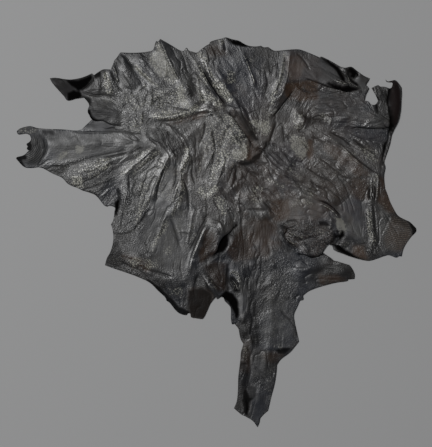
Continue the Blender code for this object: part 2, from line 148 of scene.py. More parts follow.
# The main folds lie on the solid's: crests, and creases that are pressed down. Each row is the
# height above the surface, in thicknesses of the leather, and the x and y of its route's points.
FOLDS = {
    "ear": ((8.5, 58, 84, 68, 90, 76, 95),),
    "ear root": ((3.5, 90, 75, 85, 86, 87, 97), (10, 97, 77, 99, 84, 97, 91)),
    "ear notch": ((3.5, 113, 66, 117, 76, 119, 84),),
    "throat": ((4, 84, 91, 97, 95.5, 110, 95.5, 121, 98),),
    "throat roll": ((11.5, 92, 107, 103, 110, 118, 114), (3, 90, 116, 100, 121, 112, 124, 123, 127)),
    "left shank": (
        (3.5, 78, 131, 100, 132, 130, 133, 146, 137), (7.5, 46, 145, 80, 144, 115, 141, 155, 143),
        (3.5, 62, 168, 80, 162, 100, 156, 126, 151),
    ),
    "left shank end": ((8, 33, 135, 36, 147, 31, 160),),
    "left flank": (
        (10, 74, 178, 92, 170, 110, 161, 130, 153), (3, 113, 181, 118, 193, 119, 203, 116, 211),
        (10, 126, 178, 127, 190, 124, 205), (8.5, 98, 195, 104, 189, 108, 179),
    ),
    "star fold": (
        (10, 158, 146, 150, 151, 143, 158, 136, 163, 129, 170, 123, 175),
        (7, 162, 153, 153, 161, 143, 170, 134, 180),
    ),
    "belly, left": (
        (10.5, 172, 153, 166, 166, 160, 180, 152, 197), (3.5, 167, 166, 162, 177, 158, 190, 156, 201),
        (11, 192, 148, 187, 164, 183, 180, 177, 200, 172, 212),
        (3.5, 186, 172, 187, 183, 190, 196, 191, 210), (4, 152, 203, 145, 216, 136, 227),
        (7.5, 166, 214, 161, 226, 156, 242, 152, 255), (4, 172, 217, 177, 235, 182, 250),
    ),
    "lower left": ((3, 114, 233, 124, 234, 134, 231), (9, 118, 248, 130, 254, 144, 262, 156, 276)),
    "neck peak": ((14, 161, 40, 165, 50, 170, 61, 178, 75), (4.5, 186, 53, 190, 64, 194, 80, 198, 92)),
    "neck, left": (
        (4, 126, 59, 136, 70, 147, 81), (10.5, 140, 57, 148, 70, 160, 82, 166, 90),
        (9, 122, 58, 126, 72, 131, 86),
    ),
    "shoulder": (
        (11, 179, 82, 188, 93, 193, 105), (9, 151, 116, 170, 116, 192, 111, 216, 107),
        (5.5, 150, 122, 172, 123, 196, 119, 222, 113), (4.5, 146, 98, 160, 104, 176, 110),
    ),
    "neck fold": (
        (3, 201, 62, 209, 82, 221, 99, 233, 117, 245, 137, 252, 156),
        (10.5, 217, 70, 225, 85, 233, 99, 243, 116, 253, 132),
        (11.5, 206, 106, 222, 122, 234, 137, 240, 148), (9, 205, 52, 208, 62, 213, 73),
    ),
    "neck, middle": (
        (6, 232, 62, 236, 84, 246, 104, 258, 128), (7, 243, 51, 250, 68, 256, 86, 262, 104),
        (6, 268, 56, 270, 76, 266, 98),
    ),
    "neck, right": (
        (10.5, 290, 50, 288, 72, 283, 90, 273, 107), (3, 295, 86, 283, 102, 275, 117, 272, 134, 267, 150),
    ),
    "brown hollow": ((9, 298, 70, 314, 75, 332, 82, 352, 87), (4, 304, 84, 322, 90, 342, 96, 356, 98)),
    "torn tab": ((10.5, 341, 69, 352, 74, 362, 79), (4, 321, 60, 333, 67, 344, 79)),
    "right shoulder": (
        (8.5, 295, 110, 303, 118, 304, 128), (4.5, 302, 111, 314, 118, 327, 116),
        (10, 329, 112, 346, 116, 366, 119, 382, 119), (3.5, 345, 128, 364, 128, 380, 127, 388, 130),
    ),
    "rolled flank": (
        (11.5, 394, 87, 396, 100, 395, 113, 391, 127),
        (3.5, 386, 92, 387, 112, 386, 134, 381, 150, 379, 166),
    ),
    "right flank": (
        (8, 320, 133, 338, 145, 354, 159, 370, 173), (5, 332, 132, 347, 142, 362, 156, 377, 171),
        (7, 338, 125, 352, 136, 368, 148),
    ),
    "knuckle": ((8.5, 296, 135, 304, 143, 308, 153), (5, 313, 148, 309, 158, 301, 165, 291, 164)),
    "middle": (
        (9.5, 229, 142, 238, 149, 245, 153), (3.5, 260, 140, 256, 152, 246, 163, 236, 172),
        (8.5, 226, 152, 222, 166, 218, 180, 212, 194), (4.5, 204, 152, 200, 168, 197, 184),
        (6.5, 232, 166, 228, 182, 222, 196),
    ),
    "middle, right": (
        (9.5, 266, 160, 280, 173, 298, 183), (9, 248, 190, 257, 199, 265, 208),
        (5.5, 262, 192, 271, 204, 279, 214),
    ),
    "right side": (
        (8, 318, 197, 330, 205, 343, 217), (9, 292, 205, 304, 202, 314, 208),
        (10, 374, 171, 376, 186, 371, 203, 370, 218, 373, 234, 370, 252),
        (5.5, 381, 182, 379, 204, 377, 224, 379, 246), (5.5, 363, 184, 362, 204, 364, 226, 365, 246),
    ),
    "right shank": ((5.5, 390, 224, 396, 234, 394, 248),),
    "pocket": (
        (11, 212, 222, 220, 227, 217, 238, 212, 252), (3, 237, 222, 230, 232, 223, 241, 219, 252),
        (8.5, 234, 234, 231, 246, 223, 256, 211, 262),
    ),
    "belly, right": (
        (11, 208, 225, 201, 238, 196, 251, 190, 268), (4.5, 207, 214, 199, 232, 191, 250, 187, 262),
        (6, 207, 238, 205, 252, 202, 264), (3.5, 199, 275, 194, 290, 194, 304),
        (10, 204, 272, 209, 282, 217, 292),
    ),
    "notch": (
        (10.5, 296, 228, 312, 234, 328, 240), (9.5, 338, 242, 350, 250, 362, 255),
        (4, 283, 226, 288, 240, 300, 248),
    ),
    "hind shank": ((3, 300, 254, 312, 257, 324, 258), (9.5, 296, 268, 318, 268, 346, 271)),
    "hind leg": (
        (4, 228, 264, 227, 278, 228, 292), (8, 238, 268, 242, 290, 243, 312, 245, 334),
        (6.5, 256, 268, 254, 294, 252, 320, 254, 342),
        (8.5, 272, 262, 270, 292, 272, 322, 268, 350, 262, 380, 257, 404),
        (5, 251, 356, 249, 380, 246, 402, 247, 413), (7, 244, 354, 243, 376, 240, 400),
    ),
    "knee": ((5, 281, 309, 289, 320, 295, 330), (5, 270, 352, 280, 352, 292, 349)),
    "middle, low": ((7.5, 264, 222, 262, 236, 262, 252), (4.5, 244, 212, 243, 228, 246, 246)),
}

# Smaller creases. A groove is pinched in, a crest stands up, and at a lap the leather on the
# left of the route lies over that on its right. Each row is the depth in millimetres, the
# width in grid squares, and the x and y of its route's points.
CREASES = {
    "lap": (
        (6, 2.4, 88, 111, 91, 116, 96, 119.5, 103, 119, 110, 122.5, 120, 125.5),
        (6, 2.4, 254, 146, 248, 139, 240, 129, 233, 119, 228, 110),
        (6, 2.2, 273, 116, 277, 110, 282, 103, 287, 97, 293, 90),
        (5, 2, 305, 78, 314, 80, 322, 83, 330, 86, 340, 88.5, 346, 90.5, 356, 91),
        (6, 2.2, 388, 88, 388, 100, 390, 112, 390, 124, 389, 135, 387, 143),
        (7, 2.1, 351, 127, 360, 126, 375, 127, 391, 126),
        (7, 2.4, 326, 243, 333, 243, 340, 244, 343, 249),
        (7, 2.4, 297, 253, 305, 253, 312, 256, 320, 254, 324, 252),
        (8, 2.6, 212, 257, 216, 249, 218, 242, 223, 235, 230, 230, 236, 223),
    ),
    "groove": (
        # ear and throat
        (5, 2, 91, 74, 92, 80, 84, 88, 72, 93),
        (4, 1.5, 81, 90, 88, 93, 97, 95, 105, 94.5, 112, 95.5, 120, 98),
        (2, 1.4, 110, 98, 113, 101, 116, 104), (5, 1.5, 111, 69, 113, 76, 116, 82),
        (4, 1.3, 115, 60, 117, 68, 119, 76),
        # neck, left
        (5, 1.6, 120, 53, 126, 58, 130, 64, 135, 70), (1.5, 1.2, 139, 64, 146, 72, 153, 77, 159, 81),
        (2, 1.8, 123, 86, 131, 90, 138, 89), (3, 1.4, 144, 110, 144, 118, 144, 125),
        (3.5, 1.2, 170, 107, 177, 108, 186, 109.5, 192, 109),
        (2.5, 1.3, 150, 121, 165, 121, 180, 119, 190, 117, 200, 114, 212, 112, 224, 110),
        # neck, middle
        (2, 1.5, 200, 86, 203, 96, 206, 104), (6, 2.2, 200, 63, 205, 74, 212, 86, 222, 100, 230, 110),
        (4, 1.5, 237, 101, 243, 107, 247, 112, 250, 120, 256, 131, 259, 136),
        (3, 1.2, 226, 105, 233, 107, 240, 109.5), (3, 1.5, 229, 90, 234, 95, 240, 101),
        (5, 1.3, 223.5, 39, 224.5, 46, 225.5, 52), (2.5, 1.5, 249, 60, 258, 67, 265, 71),
        (2, 1.4, 254, 88, 257, 96, 260, 101), (2, 1.4, 261, 92, 266, 96, 268, 101),
        (3, 1.2, 286, 58, 284, 72, 281, 82, 277, 92),
        # neck, right, and shoulder
        (2, 1.4, 290, 98, 298, 100, 305, 103), (4, 1.5, 331, 79, 340, 84, 350, 88, 358, 91),
        (5, 1.5, 320, 59, 327, 62, 335, 67, 340, 73, 343, 79, 346, 81),
        (4, 1.4, 338, 68, 344, 76, 349, 82, 358, 88), (6, 2, 347, 68, 353, 72, 358, 74, 354, 78),
        (6, 1.3, 375, 95, 380, 101), (6, 1.3, 376, 103, 378, 113),
        (4, 1.5, 300, 112, 307, 117, 318, 118, 327, 116), (4, 1, 296, 52, 304, 60, 310, 70),
        (4, 1, 326, 84, 318, 90, 306, 94), (4, 1, 296, 84, 304, 90, 312, 92),
        # left shank and flank
        (5, 1.8, 116, 185, 119, 193, 119, 203, 116, 212),
        (3.5, 1.5, 70, 130, 85, 132, 100, 132, 120, 131, 130, 133, 140, 134.5, 146, 137),
        (3, 1.8, 45, 167, 55, 166, 65, 166, 80, 161, 95, 157, 110, 154, 126, 151),
        (4, 2, 43, 136, 46, 143, 46, 150, 43, 158),
        # left side
        (3.5, 1.5, 147, 130, 149, 136, 154, 141, 160, 145),
        (4, 1.5, 166, 165, 162, 175, 158, 187, 157, 198),
        (3, 1.5, 176, 165, 177, 175, 176, 182, 172, 192),
        (4, 1.5, 182, 176, 185, 183, 188, 193, 189, 205, 189, 212),
        (2, 1.3, 162, 152, 153, 158, 143, 166, 134, 173), (3, 1.4, 129, 174, 130, 188),
        (3, 1.3, 193, 205, 198, 211), (3, 1.2, 176, 160, 177, 172, 176, 183, 172, 192),
        (4, 1, 190, 150, 193, 162, 192, 174, 196, 186),
        # lower left and belly
        (3.5, 1.5, 170, 215, 174, 225, 178, 238, 181, 247),
        (3.5, 1.5, 152, 205, 146, 215, 138, 225, 135, 229, 136, 237),
        (3, 1.6, 113, 233, 122, 234, 134, 231), (3, 1.5, 119, 261, 130, 266, 140, 270, 150, 280),
        (3, 1.5, 150, 270, 158, 272, 173, 277), (3.5, 1.2, 141, 267, 150, 270, 160, 273, 172, 277),
        (4, 1.6, 208, 213, 205, 221, 201, 228, 198, 235, 193, 245, 191, 252),
        (4, 1.6, 200, 273, 197, 278, 195, 286, 195, 295),
        # middle
        (5, 1.5, 275, 117, 275.5, 124, 273, 131, 270, 140, 267, 150),
        (3, 1.4, 285, 153, 292, 160, 298, 163), (3, 1.1, 233, 134, 237, 137, 243, 140),
        (4, 1.1, 248, 158, 243, 161, 236, 163), (4, 1.1, 256, 156, 251, 160, 246, 162, 238, 166),
        (5, 1.2, 256, 151, 260, 148, 264, 150, 267, 153),
        (5, 1.2, 258, 155, 262, 152, 266, 147, 267, 140),
        (3.5, 1.3, 266, 153, 271, 160, 276, 165, 283, 169), (3, 1.3, 257, 167, 264, 164, 270, 162),
        (2.5, 1.3, 270, 142, 276, 145, 284, 148), (3, 1.4, 238, 168, 237, 175, 234, 184),
        (3, 1.3, 242, 171, 248, 181), (3, 1.3, 220, 190, 229, 200), (2.5, 1.3, 257, 185, 263, 191),
        (3, 1.1, 283, 152, 290, 158, 300, 164), (3, 1.1, 250, 172, 254, 175, 258, 176),
        (3, 1.1, 222, 186, 228, 196, 236, 205), (2.5, 1.1, 262, 191, 270, 198, 276, 205),
        (4, 0.9, 284, 175, 292, 179, 300, 184), (4, 1, 236, 163, 237, 170, 235, 180, 232, 187),
        (4, 1, 244, 168, 252, 172, 262, 176), (4, 1, 252, 160, 262, 163, 270, 162),
        (4, 1, 206, 120, 204, 132, 200, 144), (4, 1, 212, 128, 214, 140, 216, 150),
        # right side and shank
        (4, 1.5, 386, 144, 382.5, 158, 381, 168),
        (3.5, 1.4, 336, 130, 350, 133, 362, 137, 370, 139, 380, 138),
        (5, 1.1, 328, 131, 335, 134, 345, 140, 352, 147), (5, 1.2, 352, 139, 360, 145, 366, 150),
        (3, 1.4, 312, 137, 320, 140, 326, 144), (3, 1.2, 307, 156, 303, 160, 300, 162, 294, 159),
        (3, 1.1, 290, 176, 300, 181, 310, 187),
        (4.5, 1.1, 345, 137, 355, 140, 365, 148, 372, 152, 380, 156),
        (4, 1.1, 345, 148, 352, 154, 362, 162, 370, 168, 377, 172),
        (2, 1.1, 333, 208, 341, 203, 349, 196, 353, 187),
        (3, 1.2, 352, 236, 357, 243, 364, 244, 368, 250), (1.5, 1.1, 300, 170, 312, 178, 325, 186),
        (1.5, 1.1, 310, 164, 322, 172, 334, 181),
        (6, 1.2, 316, 199, 326, 202.5, 334, 208, 339, 214, 343, 218),
        (6, 1.4, 369.5, 186, 369, 193, 369.5, 200), (6, 1.4, 374.5, 184, 375, 192, 374.5, 201),
        (4, 1.9, 373, 203, 375, 222, 376, 235), (2, 1.1, 391, 213, 386, 225, 380, 236),
        (3, 1.5, 364, 208, 366, 220, 368, 235, 367, 247, 371, 257),
        (4, 0.9, 297, 186, 306, 190, 317, 194), (4, 0.9, 305, 166, 314, 172, 324, 178, 333, 181),
        (4, 0.9, 318, 156, 328, 164, 338, 172, 350, 181), (4, 1, 310, 180, 318, 186, 326, 190),
        (4, 1, 300, 140, 306, 146, 310, 152),
        # middle, low
        (3.5, 1.5, 263, 200, 270, 208, 276, 214), (3, 1.1, 246, 209, 256, 210, 268, 210),
        (3, 1.1, 214, 200, 217, 205, 219, 210), (2.5, 1.3, 250, 208, 256, 209, 262, 209),
        (5, 1.1, 331, 238, 335, 236, 334, 234, 339, 234, 337, 231, 343, 231),
        (4, 1.1, 336, 239, 341, 238, 343, 234), (3, 1.4, 319, 225, 324, 223, 330, 225),
        (3.5, 1.4, 303, 242, 308, 246, 312, 252), (3.5, 1.4, 287, 240, 290, 245, 296, 247, 301, 247),
        (3, 1.3, 295, 237, 301, 240, 308, 238, 315, 236),
        (6, 1.2, 280, 226, 284, 226, 287, 230, 284, 234, 287, 237),
        (5, 1.1, 281, 231, 286, 239, 292, 245, 301, 248), (4, 1, 283, 226, 290, 227, 297, 225),
        (4, 1, 285, 222, 291, 220, 299, 220), (4, 1, 292, 236, 297, 240, 304, 239),
        (8, 3.2, 227, 236, 222, 243, 219, 250), (2.5, 1.4, 267, 240, 269, 247, 271, 255),
        (3, 1.4, 254, 232, 252, 238, 251, 244), (3, 1.4, 242, 215, 242, 228, 243, 238),
        # hind leg and shank
        (4, 1.6, 208, 273, 215, 283, 222, 288), (5, 1.6, 228, 266, 227, 278, 226, 288),
        (3, 1.2, 262, 250, 256, 262, 251, 274, 248, 285),
        (1.5, 1.2, 280, 262, 268, 276, 258, 290, 248, 308), (3, 1.1, 254, 365, 263, 376, 268, 382),
        (3, 1.1, 254, 296, 250, 308, 253, 320, 251, 332, 254, 345, 250, 358, 251, 372, 247, 385),
        (6, 1.8, 247, 397, 248, 407, 246, 416), (3, 1.4, 258, 263, 256, 270, 253, 279),
        (4, 1.2, 280, 308, 284, 314, 293, 322), (2.5, 1.4, 265, 349, 275, 350, 290, 351),
        (2, 1.4, 258, 370, 263, 374, 267, 380), (4, 1.8, 241, 364, 247, 364),
        (3, 1.4, 292, 320, 297, 330, 296, 342), (4, 1.2, 296, 300, 296, 296, 300, 294.5),
        # a fan of fine lines across the shoulder
        *((2.2, 0.9, 316 + 3 * line, 95 + 4 * line, 334, 94 + 4.2 * line,
           350 + 2 * line, 96 + 3.6 * line, 364, 101 + 3 * line) for line in range(5)),
    ),
    "crest": (
        # ear and throat
        (4, 1.6, 103.5, 70, 103.5, 79), (5, 1.4, 112, 64, 115, 70, 117, 78, 119, 83),
        (3, 3, 106, 80, 110, 86, 112, 93),
        # neck, left
        (4, 1.8, 135, 64, 141, 70, 147, 76, 152, 80, 160, 86), (3, 1.6, 146, 82, 143, 86, 138, 90),
        (2.5, 2, 136, 92, 137, 97, 134, 103), (4, 1.8, 151, 95, 151, 100, 150, 106),
        (3, 1.4, 141.5, 112, 141.5, 119, 141, 124),
        (5, 1.6, 160.5, 39, 165, 50, 169, 60, 174, 71, 180, 81), (3, 1.8, 165, 60, 166, 69, 165, 78),
        (4, 2.6, 152, 114, 160, 116, 175, 116, 190, 112, 205, 109, 215, 107),
        (3, 1.5, 191, 55, 196, 62, 199, 67),
        # neck, middle
        (3, 1.5, 193, 70, 197, 77, 199, 84),
        (4, 2, 203, 52, 206, 64, 210, 76, 217, 85, 224, 95, 229, 103),
        (6, 1.3, 242, 52, 246, 60, 250, 70, 253, 78, 256, 90),
        (4, 2.2, 284, 52, 282, 66, 279, 80, 275, 92, 271, 101),
        (4, 1.6, 290, 52, 288, 66, 287, 78, 283, 90, 276, 102),
        # neck, right, and shoulder
        (3, 1.8, 136, 120, 136, 126), (2, 1.4, 239, 113, 245, 123, 252, 134),
        (5, 0.9, 333, 79.5, 341, 82, 347, 83.5, 349, 80, 346, 73),
        (5, 0.9, 347, 83.5, 353, 84.5, 359, 87), (4, 1.5, 327, 112, 331, 118, 329, 125),
        # left shank and flank
        (3, 1.6, 100, 197, 106, 192, 110, 188),
        # left side
        (4, 1.9, 170, 153, 165, 163, 161, 172, 158, 180, 153, 190),
        (4, 2.1, 190, 148, 186, 158, 181, 170, 180, 180, 176, 190, 173, 200, 170, 209),
        (2.5, 1.8, 157, 146, 151, 150, 143, 157, 135, 164, 123, 175),
        (3, 1.6, 127, 179, 127, 190, 124, 205), (3, 1.3, 183, 180, 180, 194, 175, 206, 170, 217),
        # lower left and belly
        (3, 1.7, 168, 212, 163, 221, 158, 237), (2.5, 1, 179, 231, 185, 231, 191, 233),
        (2.5, 1.2, 194, 208, 192, 218, 190, 230, 188, 240),
        (3.5, 2.2, 211, 222, 204, 229, 200, 238, 196, 248, 193, 255, 191, 262, 189, 275),
        # middle
        (3, 1.5, 205, 144, 207, 152, 206, 160), (3, 1.5, 210, 145, 211, 153, 209, 161),
        (3, 1.6, 243, 143, 247, 150, 246, 158, 239, 161), (3, 1.8, 250, 192, 257, 199, 263, 206),
        (3, 1.5, 282, 172, 289, 176, 296, 180), (3, 1.3, 240, 190, 238, 200, 240, 214),
        (3.5, 1.8, 226, 152, 222, 166, 218, 180, 212, 190), (4, 1, 216, 146, 211, 158, 205, 170),
        (4, 1, 262, 206, 256, 196, 250, 188),
        # right side and shank
        (3.5, 1.8, 322, 134, 335, 141, 345, 149, 355, 159, 366, 170),
        (3, 1.3, 335, 165, 341, 170, 351, 179), (3, 1.1, 353, 158, 361, 164, 369, 169, 375, 173),
        (5, 1.1, 318, 203, 326, 206, 334, 212, 341, 221),
        (5, 1.7, 373, 171, 378, 176, 378, 183, 376, 200), (4, 1.4, 372, 178, 371, 190, 371, 200),
        (4, 1.9, 368, 205, 368, 217, 370, 228, 373, 236, 371, 245, 370, 255),
        (2.5, 1.2, 377, 202, 390, 210), (4, 0.9, 300, 188, 308, 191, 318, 196),
        (4, 0.9, 303, 183, 310, 187, 318, 190),
        # middle, low
        (3, 1.1, 331, 218, 331, 224, 330, 230), (4, 1.1, 286, 230, 292, 233, 300, 237),
        (4, 1.1, 286, 236, 290, 241, 297, 244),
        (2, 1.2, 228, 237, 229, 245, 225, 252, 218, 257, 210, 261),
        (3, 1.3, 209, 221, 216, 220.5, 221, 224, 222.5, 231), (2.5, 1.2, 210, 224, 215, 226, 218, 232),
        # hind leg and shank
        (3, 1.6, 202, 274, 206, 280, 211, 287, 216, 293),
        (5, 1, 229, 279, 231, 272, 236, 272, 240, 278, 242, 288), (5, 0.8, 232, 279, 236, 284, 238, 291),
        (5, 0.8, 230, 281, 233, 286, 234, 291), (5, 0.8, 235, 276, 239, 283, 240, 290),
        (3, 1.3, 241, 283, 243, 300, 242, 314),
        # a ladder of small ticks beside the belly's edge
        *((4, 0.8, 203 + 1.6 * tick, 277 + 2 * tick, 209 + 1.4 * tick, 274 + 2.2 * tick)
          for tick in range(7)),
    ),
}

# Which way the skin is pulled, and so its wrinkles run: the x and y of a place on the grid, and
# the angle from +X, anticlockwise, in degrees.
PULLS = (
    (60, 86, -20), (80, 84, -40), (100, 78, -85), (115, 75, -75), (130, 70, -46),
    (134, 104, -60), (148, 74, -45), (150, 100, 80), (168, 58, -65), (184, 94, -66),
    (183, 115, 6), (152, 116, 0), (212, 84, -58), (196, 66, -65), (222, 58, -68),
    (206, 108, 12), (240, 124, -57), (232, 84, -60), (250, 70, -71), (265, 72, -80),
    (282, 75, 84), (275, 97, 60), (283, 105, 54), (271, 138, 72), (296, 62, 75),
    (312, 66, -25), (335, 68, -40), (352, 76, -30), (330, 85, -15), (330, 102, -5),
    (350, 112, -3), (372, 127, 0), (378, 100, -60), (395, 104, 88), (384, 160, 86),
    (350, 134, -15), (352, 150, -40), (368, 166, -42), (318, 140, -27), (300, 118, 70),
    (330, 118, 5), (298, 146, -40), (304, 162, 50), (330, 180, -42), (345, 172, -41),
    (330, 208, -42), (289, 176, -30), (300, 196, -30), (270, 207, -47), (256, 198, -47),
    (225, 195, -48), (236, 176, 76), (214, 172, 70), (200, 176, 80), (206, 150, 86),
    (216, 134, -55), (238, 149, -35), (262, 154, -40), (250, 172, -40), (165, 138, -58),
    (185, 134, -55), (375, 190, 88), (371, 230, 90), (390, 200, -30), (402, 236, -52),
    (345, 215, -80), (350, 246, -12), (335, 236, -30), (305, 244, -48), (297, 227, 2),
    (312, 222, -10), (330, 270, -4), (300, 268, -14), (283, 250, -50), (266, 236, 86),
    (248, 226, 86), (222, 246, 58), (210, 236, 62), (197, 248, 68), (212, 282, -50),
    (196, 298, 80), (228, 280, 88), (240, 300, 84), (256, 300, 80), (276, 292, 70),
    (288, 320, -60), (262, 340, 84), (250, 384, 83), (268, 384, 78), (252, 410, 76),
    (176, 228, -72), (160, 226, 68), (145, 216, 55), (162, 262, 78), (174, 284, -60),
    (152, 266, -20), (132, 262, -24), (124, 240, -8), (120, 218, 70), (188, 194, -78),
    (176, 188, 72), (160, 178, 65), (142, 158, 38), (126, 194, 84), (108, 190, 44),
    (100, 132, -3), (60, 146, 0), (100, 146, 2), (75, 166, 12), (84, 180, 24),
    (112, 164, 26), (36, 146, 88), (20, 130, 0), (22, 160, 40), (102, 108, -8),
    (98, 94, -5), (110, 122, -20), (136, 124, -75), (150, 142, -10),
)

WAYS = 6                # ways, 30 degrees apart, in which the finish draws its finest wrinkles
CURVE_ROUNDS = 14       # rounds of averaging that tell a hollow or a crest from its surroundings

# Fields of fine parallel wrinkles. The angle is from +X, and the pitch in grid squares.
WRINKLES = (
    ("shoulder hollow", 160, 138, 14, 13, -58, 3.0, 1.9),
    ("shoulder hollow", 177, 138, 14, 13, -52, 3.2, 1.8),
    ("brown hollow", 338, 102, 34, 12, -4, 3.0, 1.0),
    ("right shoulder", 350, 116, 34, 8, -6, 3.4, 0.8),
    ("hind shank", 328, 270, 28, 13, -2, 3.0, 0.8),
    ("right shank", 396, 232, 18, 18, -10, 2.8, 1.2),
    ("belly point", 196, 304, 14, 13, 70, 3.0, 1.2),
    ("belly point", 211, 286, 6, 8, 35, 2.4, 0.8),
    ("hind leg", 272, 300, 22, 50, 78, 3.4, 0.6),
    ("hind leg", 256, 380, 16, 40, 84, 3.2, 0.6),
    ("middle", 238, 190, 26, 22, -62, 3.4, 0.7),
    ("middle, right", 275, 192, 26, 20, -38, 3.6, 0.7),
    ("middle, low", 262, 232, 18, 30, 86, 3.2, 0.7),
    ("knot", 302, 230, 22, 12, 4, 3.0, 1.2),
    ("left shank", 100, 140, 46, 9, 0, 3.2, 0.4),
    ("right flank", 345, 158, 34, 20, -40, 3.6, 1.0),
    ("throat", 106, 84, 10, 12, -70, 2.6, 0.6),
    ("throat roll", 104, 107, 14, 11, -25, 2.8, 0.5),
    ("ear root", 94, 88, 9, 8, 25, 2.4, 0.7),
)

# Rings of fine wrinkles at the ends of the shanks, round a centre
RINGS = (
    ("left shank end", 34, 149, 13, 14, 24, 143, 1.75),
    ("right shank", 397, 234, 17, 18, 402, 264, 1.9),
)

# Places with a tone of their own: brown where the dye is thin, pale where wear has polished the
# grain and a painted highlight lies, lighter where painted sheen lies, cool, smooth, and turned
# where the smooth dark side shows.
PATCHES = (
    ("middle", "brown", 250, 150, 80, 70, 0, 0.2),
    ("middle, right", "brown", 320, 160, 60, 80, 0, 0.2),
    ("middle", "brown", 253, 156, 10, 9, 0, 0.8),
    ("right middle", "brown", 306, 208, 30, 20, 0, 0.35),
    ("lower left", "brown", 137, 262, 14, 7, -20, 0.7),
    ("middle, low", "brown", 258, 236, 22, 26, 0, 0.5),
    ("middle", "worn_and_highlight", 215, 140, 18, 26, 0, 0.5),
    ("belly, left", "worn_and_highlight", 160, 180, 26, 28, 0, 0.4),
    ("neck, left", "painted_sheen", 160, 100, 62, 58, 0, 1.0),
    ("middle", "painted_sheen", 214, 140, 34, 44, 0, 0.9),
    ("left shank", "painted_sheen", 96, 150, 66, 20, 0, 0.8),
    ("belly, left", "painted_sheen", 158, 190, 46, 52, 0, 0.7),
    ("neck, middle", "cool", 236, 84, 30, 42, 0, 1.0),
    ("left shank end", "cool", 36, 148, 22, 26, 0, 1.0),
    ("middle, right", "cool", 286, 156, 22, 18, 0, 0.7),
    ("right shoulder", "cool", 370, 134, 22, 12, 0, 0.8),
    ("right side", "cool", 355, 215, 16, 28, 0, 0.7),
    ("hind leg", "cool", 276, 332, 24, 26, 0, 0.7),
    ("belly", "cool", 170, 300, 26, 18, 40, 0.8),
    ("ear", "calm", 70, 87, 26, 14, 0, 1.0),
    ("left shank", "calm", 90, 146, 56, 13, 2, 0.4),
    ("rolled flank", "calm", 396, 106, 8, 24, 0, 1.0),
    ("right middle", "calm", 318, 212, 26, 14, 0, 0.3),
    ("right side", "calm", 354, 214, 12, 24, 0, 0.3),
    ("lower left", "calm", 132, 248, 16, 14, 0, 0.6),
    ("neck peak", "calm", 164, 60, 14, 22, 12, 0.5),
    ("ear", "turned", 70, 87, 25, 13, 0, 0.45),
)

# For each tone, the rounds of averaging that soften a facet's edge, and the squares by which
# the edge wanders.
TONES = {
    "wrinkled": Tone(8, 1.3), "cool": Tone(8, 1.3), "worn_and_highlight": Tone(3, 1.1), "dull_and_shaded": Tone(5, 1.1),
    "painted_shadow": Tone(1, 0.4), "calm": Tone(8, 1.3), "pebbled": Tone(12, 1.3), "brown": Tone(8, 1.3),
    "painted_sheen": Tone(8, 1.3), "turned": Tone(2, 0.4),
}
FACET_MARGIN = 8       # squares round a facet that its soft edge may reach
